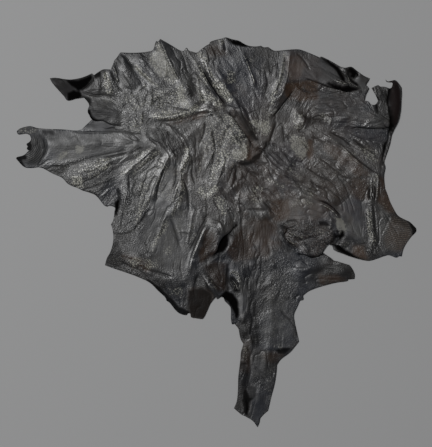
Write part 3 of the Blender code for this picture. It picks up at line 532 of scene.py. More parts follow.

# Facets of the crumpled skin with a tone of their own, as polygons on the grid: worn where the
# grain is polished light and a painted highlight lies, dull where it shows no gloss and is darkened
# with painted shade, deep where no light gets in and painted shadow makes it near black, calm
# where it is smooth, pebbled where its grain stands out, cool, brown, faded where painted sheen
# makes it lighter, or turned. They are listed by their tone and its strength. A row is the x and y
# of each corner, or, where it has only four numbers, the left, top, right and low sides of a box.
FACETS = {
    ("wrinkled", 1): (
        (148, 124, 166, 122, 186, 130, 190, 150, 180, 164, 162, 150),
        (284, 220, 330, 222, 336, 242, 318, 256, 296, 250, 282, 238),
    ),
    ("wrinkled", 0.8): (
        (84, 84, 104, 72, 114, 84, 118, 116, 92, 112), (92, 98, 114, 96, 118, 116, 96, 118),
        (314, 90, 388, 92, 388, 126, 330, 124, 304, 104),
        (316, 128, 384, 142, 380, 176, 340, 170, 316, 150),
    ),
    ("wrinkled", 0.7): (
        (248, 160, 300, 170, 310, 190, 280, 200, 250, 190),
        (320, 152, 350, 176, 352, 196, 330, 200, 312, 186),
    ),
    ("cool", 1): ((230, 304, 238, 308, 239, 322, 231, 325),),
    ("cool", 0.8): ((251, 396, 268, 394, 266, 410, 258, 428, 250, 416),),
    ("worn_and_highlight", 1): (
        (104, 72, 109, 72, 112, 94, 107, 94, 104, 84),
        (134, 64, 139, 66, 160, 86, 157, 87, 146, 80, 136, 70),
        (156, 44, 160, 41, 169, 66, 167, 78, 164, 76, 163, 62),
        (177, 85, 181, 83, 191, 105, 189, 109, 182, 107, 177, 102, 175, 94),
        (213, 78, 219, 79, 230, 92, 234, 101, 228, 103, 213, 86),
        (198, 62, 203, 66, 208, 85, 203, 84, 199, 74), (247, 120, 270, 118, 271, 128, 268, 136, 262, 134),
        (70, 176, 82, 174, 85, 187, 74, 187),
        (232, 146, 238, 148, 243, 142, 247, 143, 248, 152, 246, 160, 238, 161, 231, 158, 229, 151),
    ),
    ("worn_and_highlight", 0.9): (
        (150, 113, 160, 110, 188, 110, 194, 112, 184, 117, 170, 119, 152, 119),
        (186, 106, 196, 103, 202, 110, 190, 113), (175, 83, 183, 83, 188, 97, 180, 97),
        (199.5, 90, 209.5, 103), (207, 88, 222, 103, 226, 110, 216, 107, 208, 99),
        (76, 144, 80, 142, 85, 145, 84, 153, 77, 154), (96, 158, 110, 157, 112, 167, 102, 171, 94, 166),
        (186, 145, 191, 146, 189, 158, 185, 170, 181, 176, 179, 172),
        (220, 149, 228, 148, 231, 155, 228, 162, 222, 168, 216, 164),
        (196, 186, 206, 190, 214, 184, 220, 184, 216, 192, 208, 197, 198, 196),
        (334, 216, 342, 217, 348, 231, 341, 234, 335, 228),
    ),
    ("worn_and_highlight", 0.85): (
        (162, 44, 180, 80, 170, 84, 158, 76, 150, 66, 148, 56),
        (291, 134, 304, 136, 310, 148, 304, 160, 295, 156, 290, 146),
    ),
    ("worn_and_highlight", 0.8): (
        (113, 62, 116, 72, 118, 82, 120, 84, 117, 78, 113, 66),
        (282, 52, 288, 52, 284, 78, 273, 104, 268, 106, 281, 66),
        (58, 154, 64, 150, 70, 150, 68, 155, 60, 161, 55, 161),
        (170, 216, 168, 228, 158, 240, 152, 252, 150, 250, 158, 232),
        (213, 196, 218, 194, 226, 200, 226, 214, 220, 215),
    ),
    ("worn_and_highlight", 0.7): (
        (140, 112, 143, 123), (217.5, 39, 224, 45),
        (198, 50, 206, 52, 208, 62, 214, 78, 210, 76, 203, 64, 196, 56),
        (141, 198, 146, 200, 143, 212, 138, 224, 134, 224, 136, 212),
        (127, 257, 141, 256, 143, 264, 131, 267),
        (224, 113, 231, 116, 246, 139, 246, 146, 238, 146, 228, 140, 222, 128),
        (219, 150, 228, 160, 216, 180, 210, 182, 210, 170), (252.5, 185.5, 262.5, 191.5),
        (366, 208, 370, 206, 375, 244, 370, 242, 366, 224),
        (230, 272, 234, 268, 240, 273, 243, 284, 240, 284, 236, 275),
    ),
    ("worn_and_highlight", 0.65): ((145, 258, 158, 268),),
    ("worn_and_highlight", 0.6): (
        (126, 98, 134, 98, 143, 104, 142, 111, 134, 110, 128, 104),
        (156, 145, 150, 152, 126, 174, 120, 177, 119, 172, 134, 157, 144, 150),
        (181, 176, 186, 180, 184, 196, 171, 222, 168, 220, 179, 192),
        (158, 148, 163, 152, 147, 162, 135, 174, 128, 177, 140, 161), (159.5, 159, 168, 173),
        (266, 176, 276, 181, 285, 184, 284, 188, 274, 185, 265, 180), (198, 185.5, 209, 199),
    ),
    ("worn_and_highlight", 0.55): ((226.5, 70, 236, 84), (293, 112, 304, 128.5)),
    ("worn_and_highlight", 0.5): (
        (145, 81, 148, 84, 137, 93, 136, 90, 142, 86), (174.5, 112, 186.5, 120.5), (152, 89, 179, 109),
        (194, 62, 199, 70, 201, 80, 199, 98, 195, 98, 196, 82),
        (318, 112, 327, 112, 330, 118, 329, 126, 325, 121, 316, 118), (129.5, 117.5, 143.5, 131.5),
        (87, 165, 101, 179), (74, 164, 100, 158, 104, 166, 86, 174, 74, 172),
        (18, 127, 28, 126, 37, 129, 36, 134, 20, 132), (139, 183, 150.5, 208),
        (176, 176, 186, 180, 184, 200, 176, 200), (168, 286, 181, 295.5), (163, 245, 173, 258),
        (172.5, 288, 184, 295.5), (248, 120, 263, 120, 264, 136, 256, 136, 250, 128),
        (205, 145, 208, 145, 200, 175, 196, 175), (250, 192, 258, 190, 264, 200, 258, 206, 250, 202),
        (355, 144, 378, 150, 379, 164, 364, 156), (288, 198, 312, 197, 314, 205, 292, 208),
        (367, 172.5, 379, 185), (286, 230, 308, 236, 300, 239, 290, 236),
    ),
    ("worn_and_highlight", 0.4): (
        (102, 97, 110, 96, 115, 101, 112, 104, 104, 101), (190, 55, 197, 60, 200, 70, 198, 78, 193, 68),
        (122, 90, 146, 92, 176, 90, 176, 104, 150, 110, 126, 104),
        (200, 110, 220, 108, 236, 122, 236, 134, 216, 132, 202, 122),
        (262, 108, 274, 106, 278, 108, 272, 117, 250, 124),
        (172, 206, 184, 208, 183, 236, 176, 226, 170, 212), (286, 162, 296, 172),
        (218, 160, 228, 164, 227, 172, 219, 172), (302.5, 188.5, 314, 197), (311, 227, 325, 234),
        (272.5, 342, 283, 350),
    ),
    ("worn_and_highlight", 0.35): (
        (245.5, 54, 255, 64), (160, 152, 171, 152, 162, 176, 152, 196, 148, 194, 150, 182, 158, 166),
        (187, 221.5, 196.5, 240), (346.5, 151, 358, 162), (364.5, 136, 376, 147), (340.5, 240, 350, 250),
        (241.5, 343, 249, 360),
    ),
    ("worn_and_highlight", 0.3): (
        (100, 101, 110, 104, 114, 112, 104, 109), (285.5, 74, 293, 86), (184, 156, 194, 170),
        (133, 144, 146, 156), (161, 212, 174, 226), (289, 160, 302, 190), (377, 201, 388, 215),
        (333, 168, 347, 180), (264, 380, 275, 404),
    ),
    ("worn_and_highlight", 0.25): (
        (268, 270, 294, 270, 290, 304, 266, 300), (262, 366, 276, 364, 272, 388, 264, 386),
        (269, 276, 287, 336),
    ),
    ("worn_and_highlight", 0.2): ((206, 219, 220, 219, 226, 226, 224, 236, 217, 242),),
    ("dull_and_shaded", 1): (
        (48, 76, 66, 78, 76, 88, 66, 98), (228, 108, 238, 108, 246, 116, 258, 140, 248, 140),
        (44, 167, 72, 163, 60, 176), (116, 150, 146, 144, 156, 146, 150, 150, 118, 155),
        (103, 264, 107, 246, 116, 238, 128, 262, 118, 267),
        (188, 290, 202, 286, 213, 294, 205, 318, 191, 317, 188, 305),
        (207, 229, 215, 232, 212, 256, 204, 262, 198, 260, 201, 243),
        (204, 256, 216, 250, 226, 252, 226, 258, 204, 264),
        (228, 236, 238, 226, 248, 226, 250, 258, 236, 262, 224, 256, 231, 246),
        (204, 266, 214, 261, 226, 262, 227, 290, 218, 292),
        (195, 276, 201, 274, 214, 294, 206, 298, 192, 292), (230, 304, 238, 308, 239, 322, 231, 325),
        (236, 344, 250, 344, 250, 384, 235, 408),
        (249, 282, 256, 290, 260, 340, 255, 352, 250, 340, 246, 308),
    ),
    ("dull_and_shaded", 0.95): ((29, 133, 44, 131, 42, 146, 44, 162, 26, 166, 17, 158, 28, 150),),
    ("dull_and_shaded", 0.9): (
        (207, 46, 216, 44, 226, 52, 220, 56, 208, 56), (15, 125, 38, 124, 40, 134, 18, 136),
        (150, 128, 162, 126, 186, 142, 184, 152, 178, 160, 172, 152, 154, 142),
        (150, 278, 186, 282, 188, 302, 172, 300), (256, 152, 262, 156, 256, 168, 246, 172, 240, 166),
        (261, 140, 276, 141, 277, 154, 266, 157), (409, 219, 420, 232),
        (392, 210, 410, 218, 412, 230, 390, 220),
    ),
    ("dull_and_shaded", 0.8): (
        (90, 99, 104, 98, 114, 103, 117, 112, 110, 119, 98, 117, 90, 112),
        (88, 72, 103, 69, 104, 78, 100, 88, 92, 93, 84, 91, 88, 82), (85, 94, 97, 107),
        (83, 116, 95, 128), (143.75, 112, 148.5, 124.5), (184, 84, 192, 88, 195, 104, 192, 104),
        (122, 51, 150, 49, 152, 57, 136, 62, 124, 57), (228, 87, 236, 93, 248, 111, 240, 109),
        (205, 37.5, 216, 46), (276, 104, 290, 104, 290, 122, 278, 124, 272, 114),
        (282, 84, 292, 80, 318, 80, 318, 98, 300, 100, 286, 98), (39.5, 136, 50, 150),
        (41, 129, 62, 130, 64, 137, 56, 142, 44, 142), (114, 233, 126, 235, 134, 232, 128, 238, 116, 238),
        (244, 214, 266, 214, 276, 226, 268, 240, 250, 236),
        (276, 238, 290, 240, 298, 250, 288, 252, 278, 246), (256, 292, 267, 307.5),
        (230, 262, 246, 262, 256, 276, 256, 290, 246, 290, 243, 276), (245, 304, 260, 318),
        (254, 255, 267, 252, 270, 266, 262, 284, 254, 284), (232, 318, 247, 316, 248, 336, 241, 344),
    ),
    ("dull_and_shaded", 0.7): (
        (114, 87, 124, 86, 128, 94, 122, 100, 114, 98), (112, 52, 122, 66),
        (371, 87, 388, 87, 388, 102, 378, 104, 378, 98),
        (300, 110, 308, 117, 318, 119, 326, 117, 322, 124, 306, 122),
        (283, 95, 303, 97, 304, 106, 286, 108), (83, 191, 97, 205),
        (163, 166, 172, 155, 176, 170, 176, 184, 168, 195, 160, 200, 156, 200),
        (145, 128, 162, 127, 162, 146, 151, 142), (99, 208, 112, 206, 114, 232, 104, 234),
        (142, 214, 160, 203, 166, 212, 158, 236, 146, 248, 137, 238),
        (230, 166, 262, 164, 266, 192, 232, 192), (247, 140, 256, 143, 262, 150, 256, 158, 248, 156),
        (203.5, 212.5, 216, 226), (322, 250, 331, 262), (251.5, 350, 263, 366), (204.5, 269, 217, 283),
        (257.5, 283, 269, 296),
    ),
    ("dull_and_shaded", 0.6): (
        (113, 96, 127, 108), (84, 74, 104, 70, 102, 90, 86, 90),
        (86, 98, 100, 96, 104, 106, 100, 118, 88, 116), (153, 92, 162, 96, 164, 104, 156, 110, 152, 104),
        (148, 121, 170, 121, 212, 112, 204, 119, 176, 126, 154, 126), (117, 59, 135.5, 89),
        (226, 46, 279, 52, 280, 62, 262, 70, 246, 62, 232, 60), (262.5, 88, 274.5, 102),
        (189.5, 48, 202.5, 58), (199.5, 39.5, 211.5, 50.5), (225, 70, 236, 82), (50, 134, 103, 150),
        (46, 125, 67, 141), (94, 176, 112, 166, 124, 164, 118, 174, 104, 184, 94, 188),
        (191, 197.5, 204, 206.5), (160.5, 186, 174, 200), (187.5, 187, 199, 199),
        (170, 122, 196, 119, 197, 133, 176, 134),
        (155, 203, 158, 206, 148, 218, 138, 234, 134, 232, 140, 220), (273, 126, 288.5, 143),
        (360.5, 195, 368.5, 205), (218.5, 243, 230, 256), (207.5, 225, 219, 237),
        (302, 256, 324, 256, 330, 260, 318, 266, 302, 264), (345, 269, 353.5, 279), (195, 262, 207, 276),
    ),
    ("dull_and_shaded", 0.5): (
        (111, 84, 127, 100), (118, 66, 124, 60, 146, 82, 138, 88, 128, 90, 120, 86),
        (165, 43, 185, 53, 191, 60, 196, 80, 183, 80), (158, 82, 175, 81, 176, 90, 150, 94, 148, 86),
        (146, 51, 155, 46, 157, 60, 148, 63), (267, 62, 280, 62, 278, 84, 270, 84),
        (255, 39, 282, 48, 282, 62, 256, 58), (40, 140, 50, 144, 48, 156, 40, 158), (67, 128, 80, 138),
        (132, 177, 141, 172, 147, 184, 142, 196, 133, 194), (158, 190, 170, 187, 169, 204, 157, 207),
        (189.5, 118, 205, 172), (138, 134, 150, 144),
        (189, 116, 204, 115, 216, 124, 214, 140, 210, 150, 199, 152, 200, 134, 190, 130),
        (217, 150, 208, 172, 202, 180, 198, 176, 210, 154),
        (351, 176, 368, 178, 369, 200, 356, 200, 350, 190),
        (379, 176, 384, 178, 396, 214, 388, 212, 378, 202), (268, 200, 290, 198, 290, 220, 272, 220),
        (244, 218, 270, 254), (290, 218, 318, 218, 330, 226, 332, 240, 310, 246, 292, 238, 284, 228),
        (262, 350, 284, 352, 278, 366, 262, 366), (250, 352, 262, 356, 264, 392, 254, 398, 250, 380),
        (251, 396, 268, 394, 266, 410, 258, 428, 250, 416),
    ),
    ("dull_and_shaded", 0.45): (
        (112, 238, 152, 238, 152, 268, 110, 262), (356, 200, 367, 204, 367, 232, 361, 222),
        (298, 258, 346, 264, 352, 282, 300, 284),
    ),
    ("dull_and_shaded", 0.4): (
        (232, 58, 244, 52, 256, 90, 262, 100, 262, 112, 252, 116, 234, 88), (209, 66, 222, 80),
        (320, 94, 356, 94, 364, 100, 360, 110, 330, 112, 318, 108),
        (160, 284, 188, 292, 188, 312, 176, 306, 164, 294),
        (268, 146, 280, 148, 288, 158, 298, 164, 290, 170, 276, 164, 268, 156), (207, 122, 219, 134),
        (352, 128, 388, 127, 388, 142, 362, 135), (318, 176, 352, 180, 352, 190, 336, 206, 320, 200),
    ),
    ("dull_and_shaded", 0.35): (
        (250, 58, 262, 52, 276, 54, 280, 66, 276, 80, 262, 96, 256, 84),
        (206, 52, 232, 56, 242, 84, 226, 90, 212, 76), (196, 132, 216, 128, 220, 152, 204, 176, 194, 170),
    ),
    ("dull_and_shaded", 0.3): ((296, 52, 318, 56, 345, 78, 320, 80, 304, 76),),
    ("dull_and_shaded", 0.2): ((384, 228, 400, 226, 408, 234, 402, 250, 386, 248),),
    ("painted_shadow", 1): (
        (66, 80, 80, 79, 92, 75, 93, 79, 87, 86, 79, 91, 70, 85),
        (67, 92, 73, 90, 80, 91, 84, 96, 76, 99, 68, 101),
        (87, 109, 91, 109, 94, 114, 101, 118, 98, 121, 91, 119, 87, 115),
        (84, 78, 91, 73, 94, 78, 88, 83),
        (226, 36, 232, 39, 240, 40, 250, 45, 250, 47, 240, 46, 233, 44, 228, 40),
        (347, 66.5, 352, 66.5, 358.5, 73, 354, 78.5, 349.5, 77.5, 351, 72.5, 347, 69),
        (348.5, 78.5, 354, 80.5, 359, 84.5, 357, 86, 351, 82.5),
        (328, 80, 338, 83.5, 354, 86, 359.5, 88, 358, 90, 348, 90.5, 338, 88, 326, 81.5),
        (320, 56, 324, 58, 337, 66.5, 343, 74, 345.5, 81, 343, 82, 341, 76, 335, 69, 321, 58.5),
        (322, 57, 328, 59, 338, 66, 345, 76, 346, 83, 341, 80, 337, 72, 329, 63),
        (115, 200, 120, 198, 120, 207, 116, 216, 114, 214),
        (351, 127, 362, 125.5, 375, 126, 390, 125, 390, 129, 375, 129.5, 360, 128.5),
        (387, 88, 391.5, 88, 391.5, 105, 394, 112, 394, 121, 396, 125, 388, 141, 384, 155, 384, 166, 382,
         166, 382, 146, 386.5, 138, 388, 127),
        (237, 220, 238, 225, 234, 232, 230, 236, 229, 244, 225, 251, 217, 256, 212, 258, 217, 250, 216,
         244, 220, 238, 234, 226),
        (329, 239, 334, 236, 333, 233.5, 339, 233, 341, 229.5, 345, 231, 344, 236, 340, 239.5, 338,
         236.5, 331, 241),
        (326, 243, 334, 242, 341, 243, 344, 248, 354, 254, 364, 259, 354, 258, 340, 252),
        (218, 296, 226, 289, 232, 292, 238, 300, 240, 314, 236, 320, 233, 310, 228, 301),
    ),
    ("painted_shadow", 0.9): (
        (93, 75, 97, 71.5, 102, 70, 101, 77, 95, 79),
        (306, 77.5, 316, 79.5, 326, 82.5, 331, 85, 330, 86.5, 322, 84.5, 306, 79),
        (346, 68, 351, 70, 350, 76, 356, 84, 350, 83, 345, 75),
        (25, 140, 31, 138, 33, 150, 28, 151, 26, 146),
        (14, 156, 24, 153, 28, 157, 26, 160, 22, 160, 27, 168, 22, 167),
        (143, 276, 150, 279, 160, 286, 180, 306, 190, 311, 190, 315, 180, 314, 166, 301),
        (404, 217, 411, 219.5, 418, 226, 418, 232, 411, 236, 411, 229, 408, 223),
        (297, 251, 306, 252, 320, 252, 326, 249, 324, 256, 310, 258, 298, 256),
        (229, 276, 234, 275, 239, 281, 241, 292, 234, 291, 230, 284),
        (275, 349, 285, 346, 292, 347, 286, 353, 278, 353),
        (244, 386, 248, 390, 250, 396, 255, 396, 250, 401, 248, 416, 244, 412, 242, 399),
    ),
    ("painted_shadow", 0.85): ((238, 162, 248, 160, 256, 153, 262, 151, 261, 157, 254, 163, 246, 166, 238, 165),),
    ("painted_shadow", 0.8): (
        (83, 95, 92, 98, 92, 106, 87, 105, 84, 100),
        (199.5, 61, 210, 79, 219, 93, 229, 107, 225, 106, 215, 93, 206.5, 79),
        (374, 94, 377, 94, 381, 100, 380, 102), (375, 104, 378, 103, 379, 112, 377, 114),
        (188, 290, 202, 286, 213, 294, 211, 302, 205, 318, 191, 317, 188, 305),
        (228, 109, 232, 111, 248, 137, 251, 146, 249.5, 149, 245, 139, 237, 128),
        (318, 221, 326, 220, 330, 225, 320, 226), (225.5, 262, 229, 290),
    ),
    ("painted_shadow", 0.75): ((238, 108, 241, 111, 259, 139, 256, 141, 247, 130, 240, 118),),
    ("painted_shadow", 0.7): ((280, 224, 285, 225, 287, 228, 284, 231, 281, 229),),
    ("painted_shadow", 0.6): (
        (48, 75, 66, 76, 80, 75, 92, 70, 93, 75, 80, 80, 66, 82, 56, 80),
        (41, 129.5, 55, 130, 54, 134, 43, 134), (247, 384, 256, 386, 257, 396, 250, 396),
        (240, 361, 247, 368),
    ),
    ("painted_shadow", 0.5): ((232, 403, 240, 398, 241, 408, 236, 411),),
    ("painted_shadow", 0.45): ((48, 76, 66, 78, 76, 88, 66, 99, 58, 91),),
    ("painted_shadow", 0.4): (
        (283, 104, 287, 96, 295, 88, 297, 92, 284, 107),
        (101, 267, 105, 252, 111, 244, 114, 256, 113, 269),
    ),
    ("painted_shadow", 0.35): (
        (101, 67, 112, 66, 112, 71, 102, 73), (253, 43, 282, 47, 282, 51, 253, 48.5),
        (15, 125, 38, 124, 40, 134, 18, 136), (30, 134, 44, 134, 46, 150, 42, 160, 30, 162),
        (229, 320, 240, 326, 244, 340, 238, 346), (237, 342, 244, 344, 243, 358, 237, 358),
    ),
    ("painted_shadow", 0.3): ((112, 60, 122, 50, 124, 56, 118, 72, 112, 72), (205, 38, 218, 36, 220, 44, 206, 47)),
    ("painted_shadow", 0.2): ((90, 99, 104, 98, 114, 103, 117, 112, 110, 119, 98, 117, 90, 112),),
    ("calm", 1): (
        (82, 128, 92, 120, 112, 126, 124, 130, 100, 131),
        (333, 215, 343, 216, 349, 231, 341, 235, 334, 228),
        (240, 283, 246, 288, 248, 305, 243, 316, 239, 310, 239, 292),
    ),
    ("calm", 0.9): (
        (354, 76, 358, 72, 369, 78, 366, 88, 356, 84), (75, 141, 86, 141, 86, 155, 76, 156),
        (54, 150, 72, 148, 70, 158, 56, 163),
    ),
    ("calm", 0.75): ((292, 134, 310, 142, 310, 158, 296, 160, 289, 146),),
    ("calm", 0.7): ((150, 52, 162, 44, 168, 58, 178, 78, 160, 80, 149, 66),),
    ("calm", 0.6): (
        (281, 51, 291, 51, 288, 80, 280, 94, 275, 90, 280, 66),
        (290, 50, 318, 56, 330, 63, 345, 78, 320, 80, 296, 78, 290, 66),
        (44, 130, 90, 131, 112, 138, 110, 150, 80, 158, 48, 161, 42, 146),
        (163, 166, 172, 156, 178, 176, 168, 206, 150, 240, 138, 238, 146, 218, 158, 190),
        (172, 206, 186, 210, 184, 250, 188, 262, 176, 270, 150, 262, 156, 240, 166, 222),
        (350, 196, 366, 202, 366, 240, 352, 240, 342, 220, 340, 208),
        (251, 396, 268, 394, 266, 410, 258, 426, 250, 412),
    ),
    ("calm", 0.5): (
        (134, 63, 140, 66, 151, 76, 161, 86, 157, 88, 146, 81, 135, 70),
        (252, 120, 269, 118, 270, 134, 262, 138, 255, 130),
        (287, 197, 318, 198, 322, 206, 320, 218, 290, 222, 284, 212),
        (255, 222, 266, 218, 273, 228, 271, 240, 264, 250, 256, 246),
        (262, 300, 290, 300, 297, 335, 290, 346, 262, 344), (250, 344, 264, 344, 266, 376, 252, 376),
    ),
    ("calm", 0.45): ((229, 145, 248, 141, 249, 157, 238, 162, 229, 158),),
    ("calm", 0.4): (
        (90, 99, 106, 97, 114, 101, 118, 108, 116, 118, 102, 119, 90, 114),
        (29, 133, 44, 131, 42, 146, 44, 162, 26, 166, 17, 158, 28, 150),
    ),
    ("calm", 0.35): ((176, 83, 184, 83, 192, 104, 190, 109, 178, 106),),
    ("calm", 0.25): ((316, 92, 362, 94, 372, 106, 372, 118, 330, 118, 314, 106),),
    ("pebbled", 1): (
        (120, 92, 150, 92, 150, 128, 124, 126), (150, 84, 190, 84, 194, 120, 150, 121),
        (60, 164, 90, 158, 112, 160, 112, 178, 96, 194, 82, 190, 62, 176),
        (112, 200, 140, 196, 150, 215, 140, 240, 150, 256, 140, 276, 108, 266, 112, 240),
        (210, 110, 231, 114, 246, 139, 246, 160, 222, 178, 206, 182, 212, 150, 204, 130),
        (366, 204, 372, 202, 377, 236, 377, 256, 368, 256),
        (284, 220, 330, 222, 336, 242, 318, 256, 296, 250, 282, 238),
    ),
    ("pebbled", 0.8): (
        (100, 78, 114, 78, 120, 92, 104, 92), (150, 44, 166, 44, 180, 80, 160, 84, 140, 66),
        (194, 182, 214, 182, 228, 200, 226, 216, 196, 200),
    ),
    ("pebbled", 0.7): ((118, 178, 146, 176, 150, 200, 118, 200),),
    ("pebbled", 0.35): ((262, 258, 298, 262, 298, 340, 262, 344, 257, 318),),
    ("brown", 1): (
        (170, 118, 188, 116, 200, 112, 208, 112, 204, 117, 176, 124, 168, 123),
        (282, 84, 318, 78, 318, 98, 300, 102, 286, 98),
    ),
    ("brown", 0.8): (
        (307.5, 139, 313.5, 159), (268, 200, 290, 198, 290, 220, 272, 220),
        (207, 229, 215, 232, 212, 256, 204, 262, 198, 260),
    ),
    ("brown", 0.7): (
        (188, 290, 202, 286, 213, 294, 205, 318, 191, 317),
        (246, 138, 256, 141, 262, 150, 256, 159, 247, 157),
        (379, 176, 384, 178, 396, 214, 388, 212, 378, 202),
        (353, 244, 364, 245, 368, 256, 364, 259, 352, 253),
    ),
    ("brown", 0.65): ((393, 214, 408, 221, 410, 236, 402, 250, 386, 248, 384, 236),),
    ("brown", 0.6): (
        (228, 108, 238, 108, 246, 116, 258, 140, 248, 140),
        (226, 252, 240, 226, 256, 228, 252, 258, 236, 262),
        (254, 220, 266, 216, 278, 226, 264, 252, 254, 246), (318, 275, 340, 274, 345, 280, 322, 284),
    ),
    ("brown", 0.55): ((351, 176, 368, 178, 369, 200, 356, 200, 350, 190),),
    ("brown", 0.5): (
        (207, 46, 216, 44, 226, 52, 220, 56, 208, 56), (286, 56, 300, 54, 306, 66, 300, 80, 288, 82),
        (325, 140, 345, 148, 372, 174, 360, 178, 322, 150),
        (204, 266, 214, 261, 226, 262, 227, 290, 218, 292),
    ),
    ("brown", 0.4): (
        (225, 165, 246, 163, 262, 172, 262, 188, 242, 190, 228, 184),
        (284, 222, 330, 224, 334, 240, 316, 254, 298, 248, 284, 238), (239, 340, 250, 372),
    ),
    ("brown", 0.35): (
        (228, 160, 262, 160, 300, 186, 296, 200, 262, 204, 236, 196),
        (318, 176, 352, 180, 352, 190, 336, 206, 320, 200), (262, 350, 284, 352, 278, 362, 264, 360),
    ),
    ("brown", 0.2): ((289, 50, 318, 56, 324, 78, 290, 80),),
    ("painted_sheen", 1): (
        (112, 88, 180, 84, 190, 110, 150, 120, 118, 116),
        (130, 165, 150, 165, 152, 190, 146, 207, 132, 202), (345, 138, 376, 148, 380, 168, 366, 164),
        (297, 184, 317, 187, 317, 198, 299, 198),
        (343, 210, 352, 214, 364, 228, 362, 238, 350, 236, 342, 222),
        (290, 198, 312, 198, 314, 210, 294, 212), (240, 283, 246, 288, 248, 305, 243, 316, 239, 310),
    ),
    ("painted_sheen", 0.9): (
        (354, 76, 358, 72, 369, 78, 366, 88, 356, 84), (172, 206, 186, 208, 184, 262, 160, 262),
    ),
    ("painted_sheen", 0.8): (
        (350, 112, 388, 126), (377, 203, 391, 212, 379, 236),
        (316, 126, 350, 130, 380, 150, 378, 170, 340, 160, 318, 146),
    ),
    ("painted_sheen", 0.7): (
        (287, 197, 318, 198, 322, 206, 320, 218, 290, 222, 284, 212),
        (318, 146, 352, 164, 362, 180, 336, 196, 312, 180),
        (262, 300, 290, 300, 297, 335, 290, 346, 262, 344),
    ),
    ("painted_sheen", 0.6): (
        (50, 134, 90, 133, 118, 138, 112, 150, 80, 158, 48, 161, 46, 146),
        (404, 240, 400, 252, 376, 254, 372, 246),
    ),
    ("turned", 1): ((385, 77, 393, 77, 400, 84, 401, 104, 397, 126, 391, 126, 391, 104),),
}

# ---------------------------------------------------------------- helpers

def pairs(numbers):
    """The places x, y in a plain row of numbers."""
    return list(zip(numbers[::2], numbers[1::2]))


def on_surface(x, y):
    """A place on the grid, in metres from its middle."""
    return (x - GRID_MIDDLE[0]) * STEP, (GRID_MIDDLE[1] - y) * STEP


def smooth_route(points, spacing):
    """Even points along a smooth curve through the given ones."""
    knots = np.array(points, float)
    if len(knots) < 3:
        spine = knots
    else:
        ends = np.vstack((2 * knots[0] - knots[1], knots, 2 * knots[-1] - knots[-2]))
        t = np.linspace(0, 1, 12, endpoint=False)[:, None]
        runs = []
        for a, b, c, d in zip(ends, ends[1:], ends[2:], ends[3:]):
            runs.append(0.5 * (2 * b + (c - a) * t + (2 * a - 5 * b + 4 * c - d) * t ** 2
                               + (3 * b - a - 3 * c + d) * t ** 3))
        spine = np.vstack(runs + [knots[-1:]])
    along = np.concatenate(([0.0], np.cumsum(np.linalg.norm(np.diff(spine, axis=0), axis=1))))
    count = max(2, round(along[-1] / spacing) + 1)
    even = np.linspace(0, along[-1], count)
    return np.column_stack([np.interp(even, along, spine[:, i]) for i in (0, 1)])


def cut_edge(spacing):
    """The whole outline in grid squares, one loop."""
    stretches = [pairs(numbers) for numbers in OUTLINE.values()]
    return np.vstack([smooth_route(stretch + after[:1], spacing)[:-1]
                      for stretch, after in zip(stretches, stretches[1:] + stretches[:1])])


def inside(loop, x, y):
    """Which of the places x, y lie inside a closed loop."""
    hit = np.zeros(x.shape, bool)
    for (x0, y0), (x1, y1) in zip(loop, np.roll(loop, -1, axis=0)):
        if y0 != y1:
            crosses = (y0 > y) != (y1 > y)
            hit ^= crosses & (x < x0 + (x1 - x0) * (y - y0) / (y1 - y0))
    return hit


def beside(field):
    """Sum of the four neighbours of each point."""
    padded = np.pad(field, 1, mode="edge")
    return padded[:-2, 1:-1] + padded[2:, 1:-1] + padded[1:-1, :-2] + padded[1:-1, 2:]


def spread(field, times):
    """Average each point with its four neighbours, again and again."""
    for _ in range(times):
        field = (beside(field) + 4 * field) / 8
    return field


def steps(low, high, value):
    """0 below low, 1 above high, and smooth between."""
    t = np.clip((value - low) / (high - low), 0, 1)
    return t * t * (3 - 2 * t)


def between(field, column, row, ease=lambda share: share):
    """A field's values at places between its points."""
    left, top = column.astype(int), row.astype(int)
    across, down = ease(column - left), ease(row - top)
    upper = field[top, left] * (1 - across) + field[top, left + 1] * across
    lower = field[top + 1, left] * (1 - across) + field[top + 1, left + 1] * across
    return upper * (1 - down) + lower * down


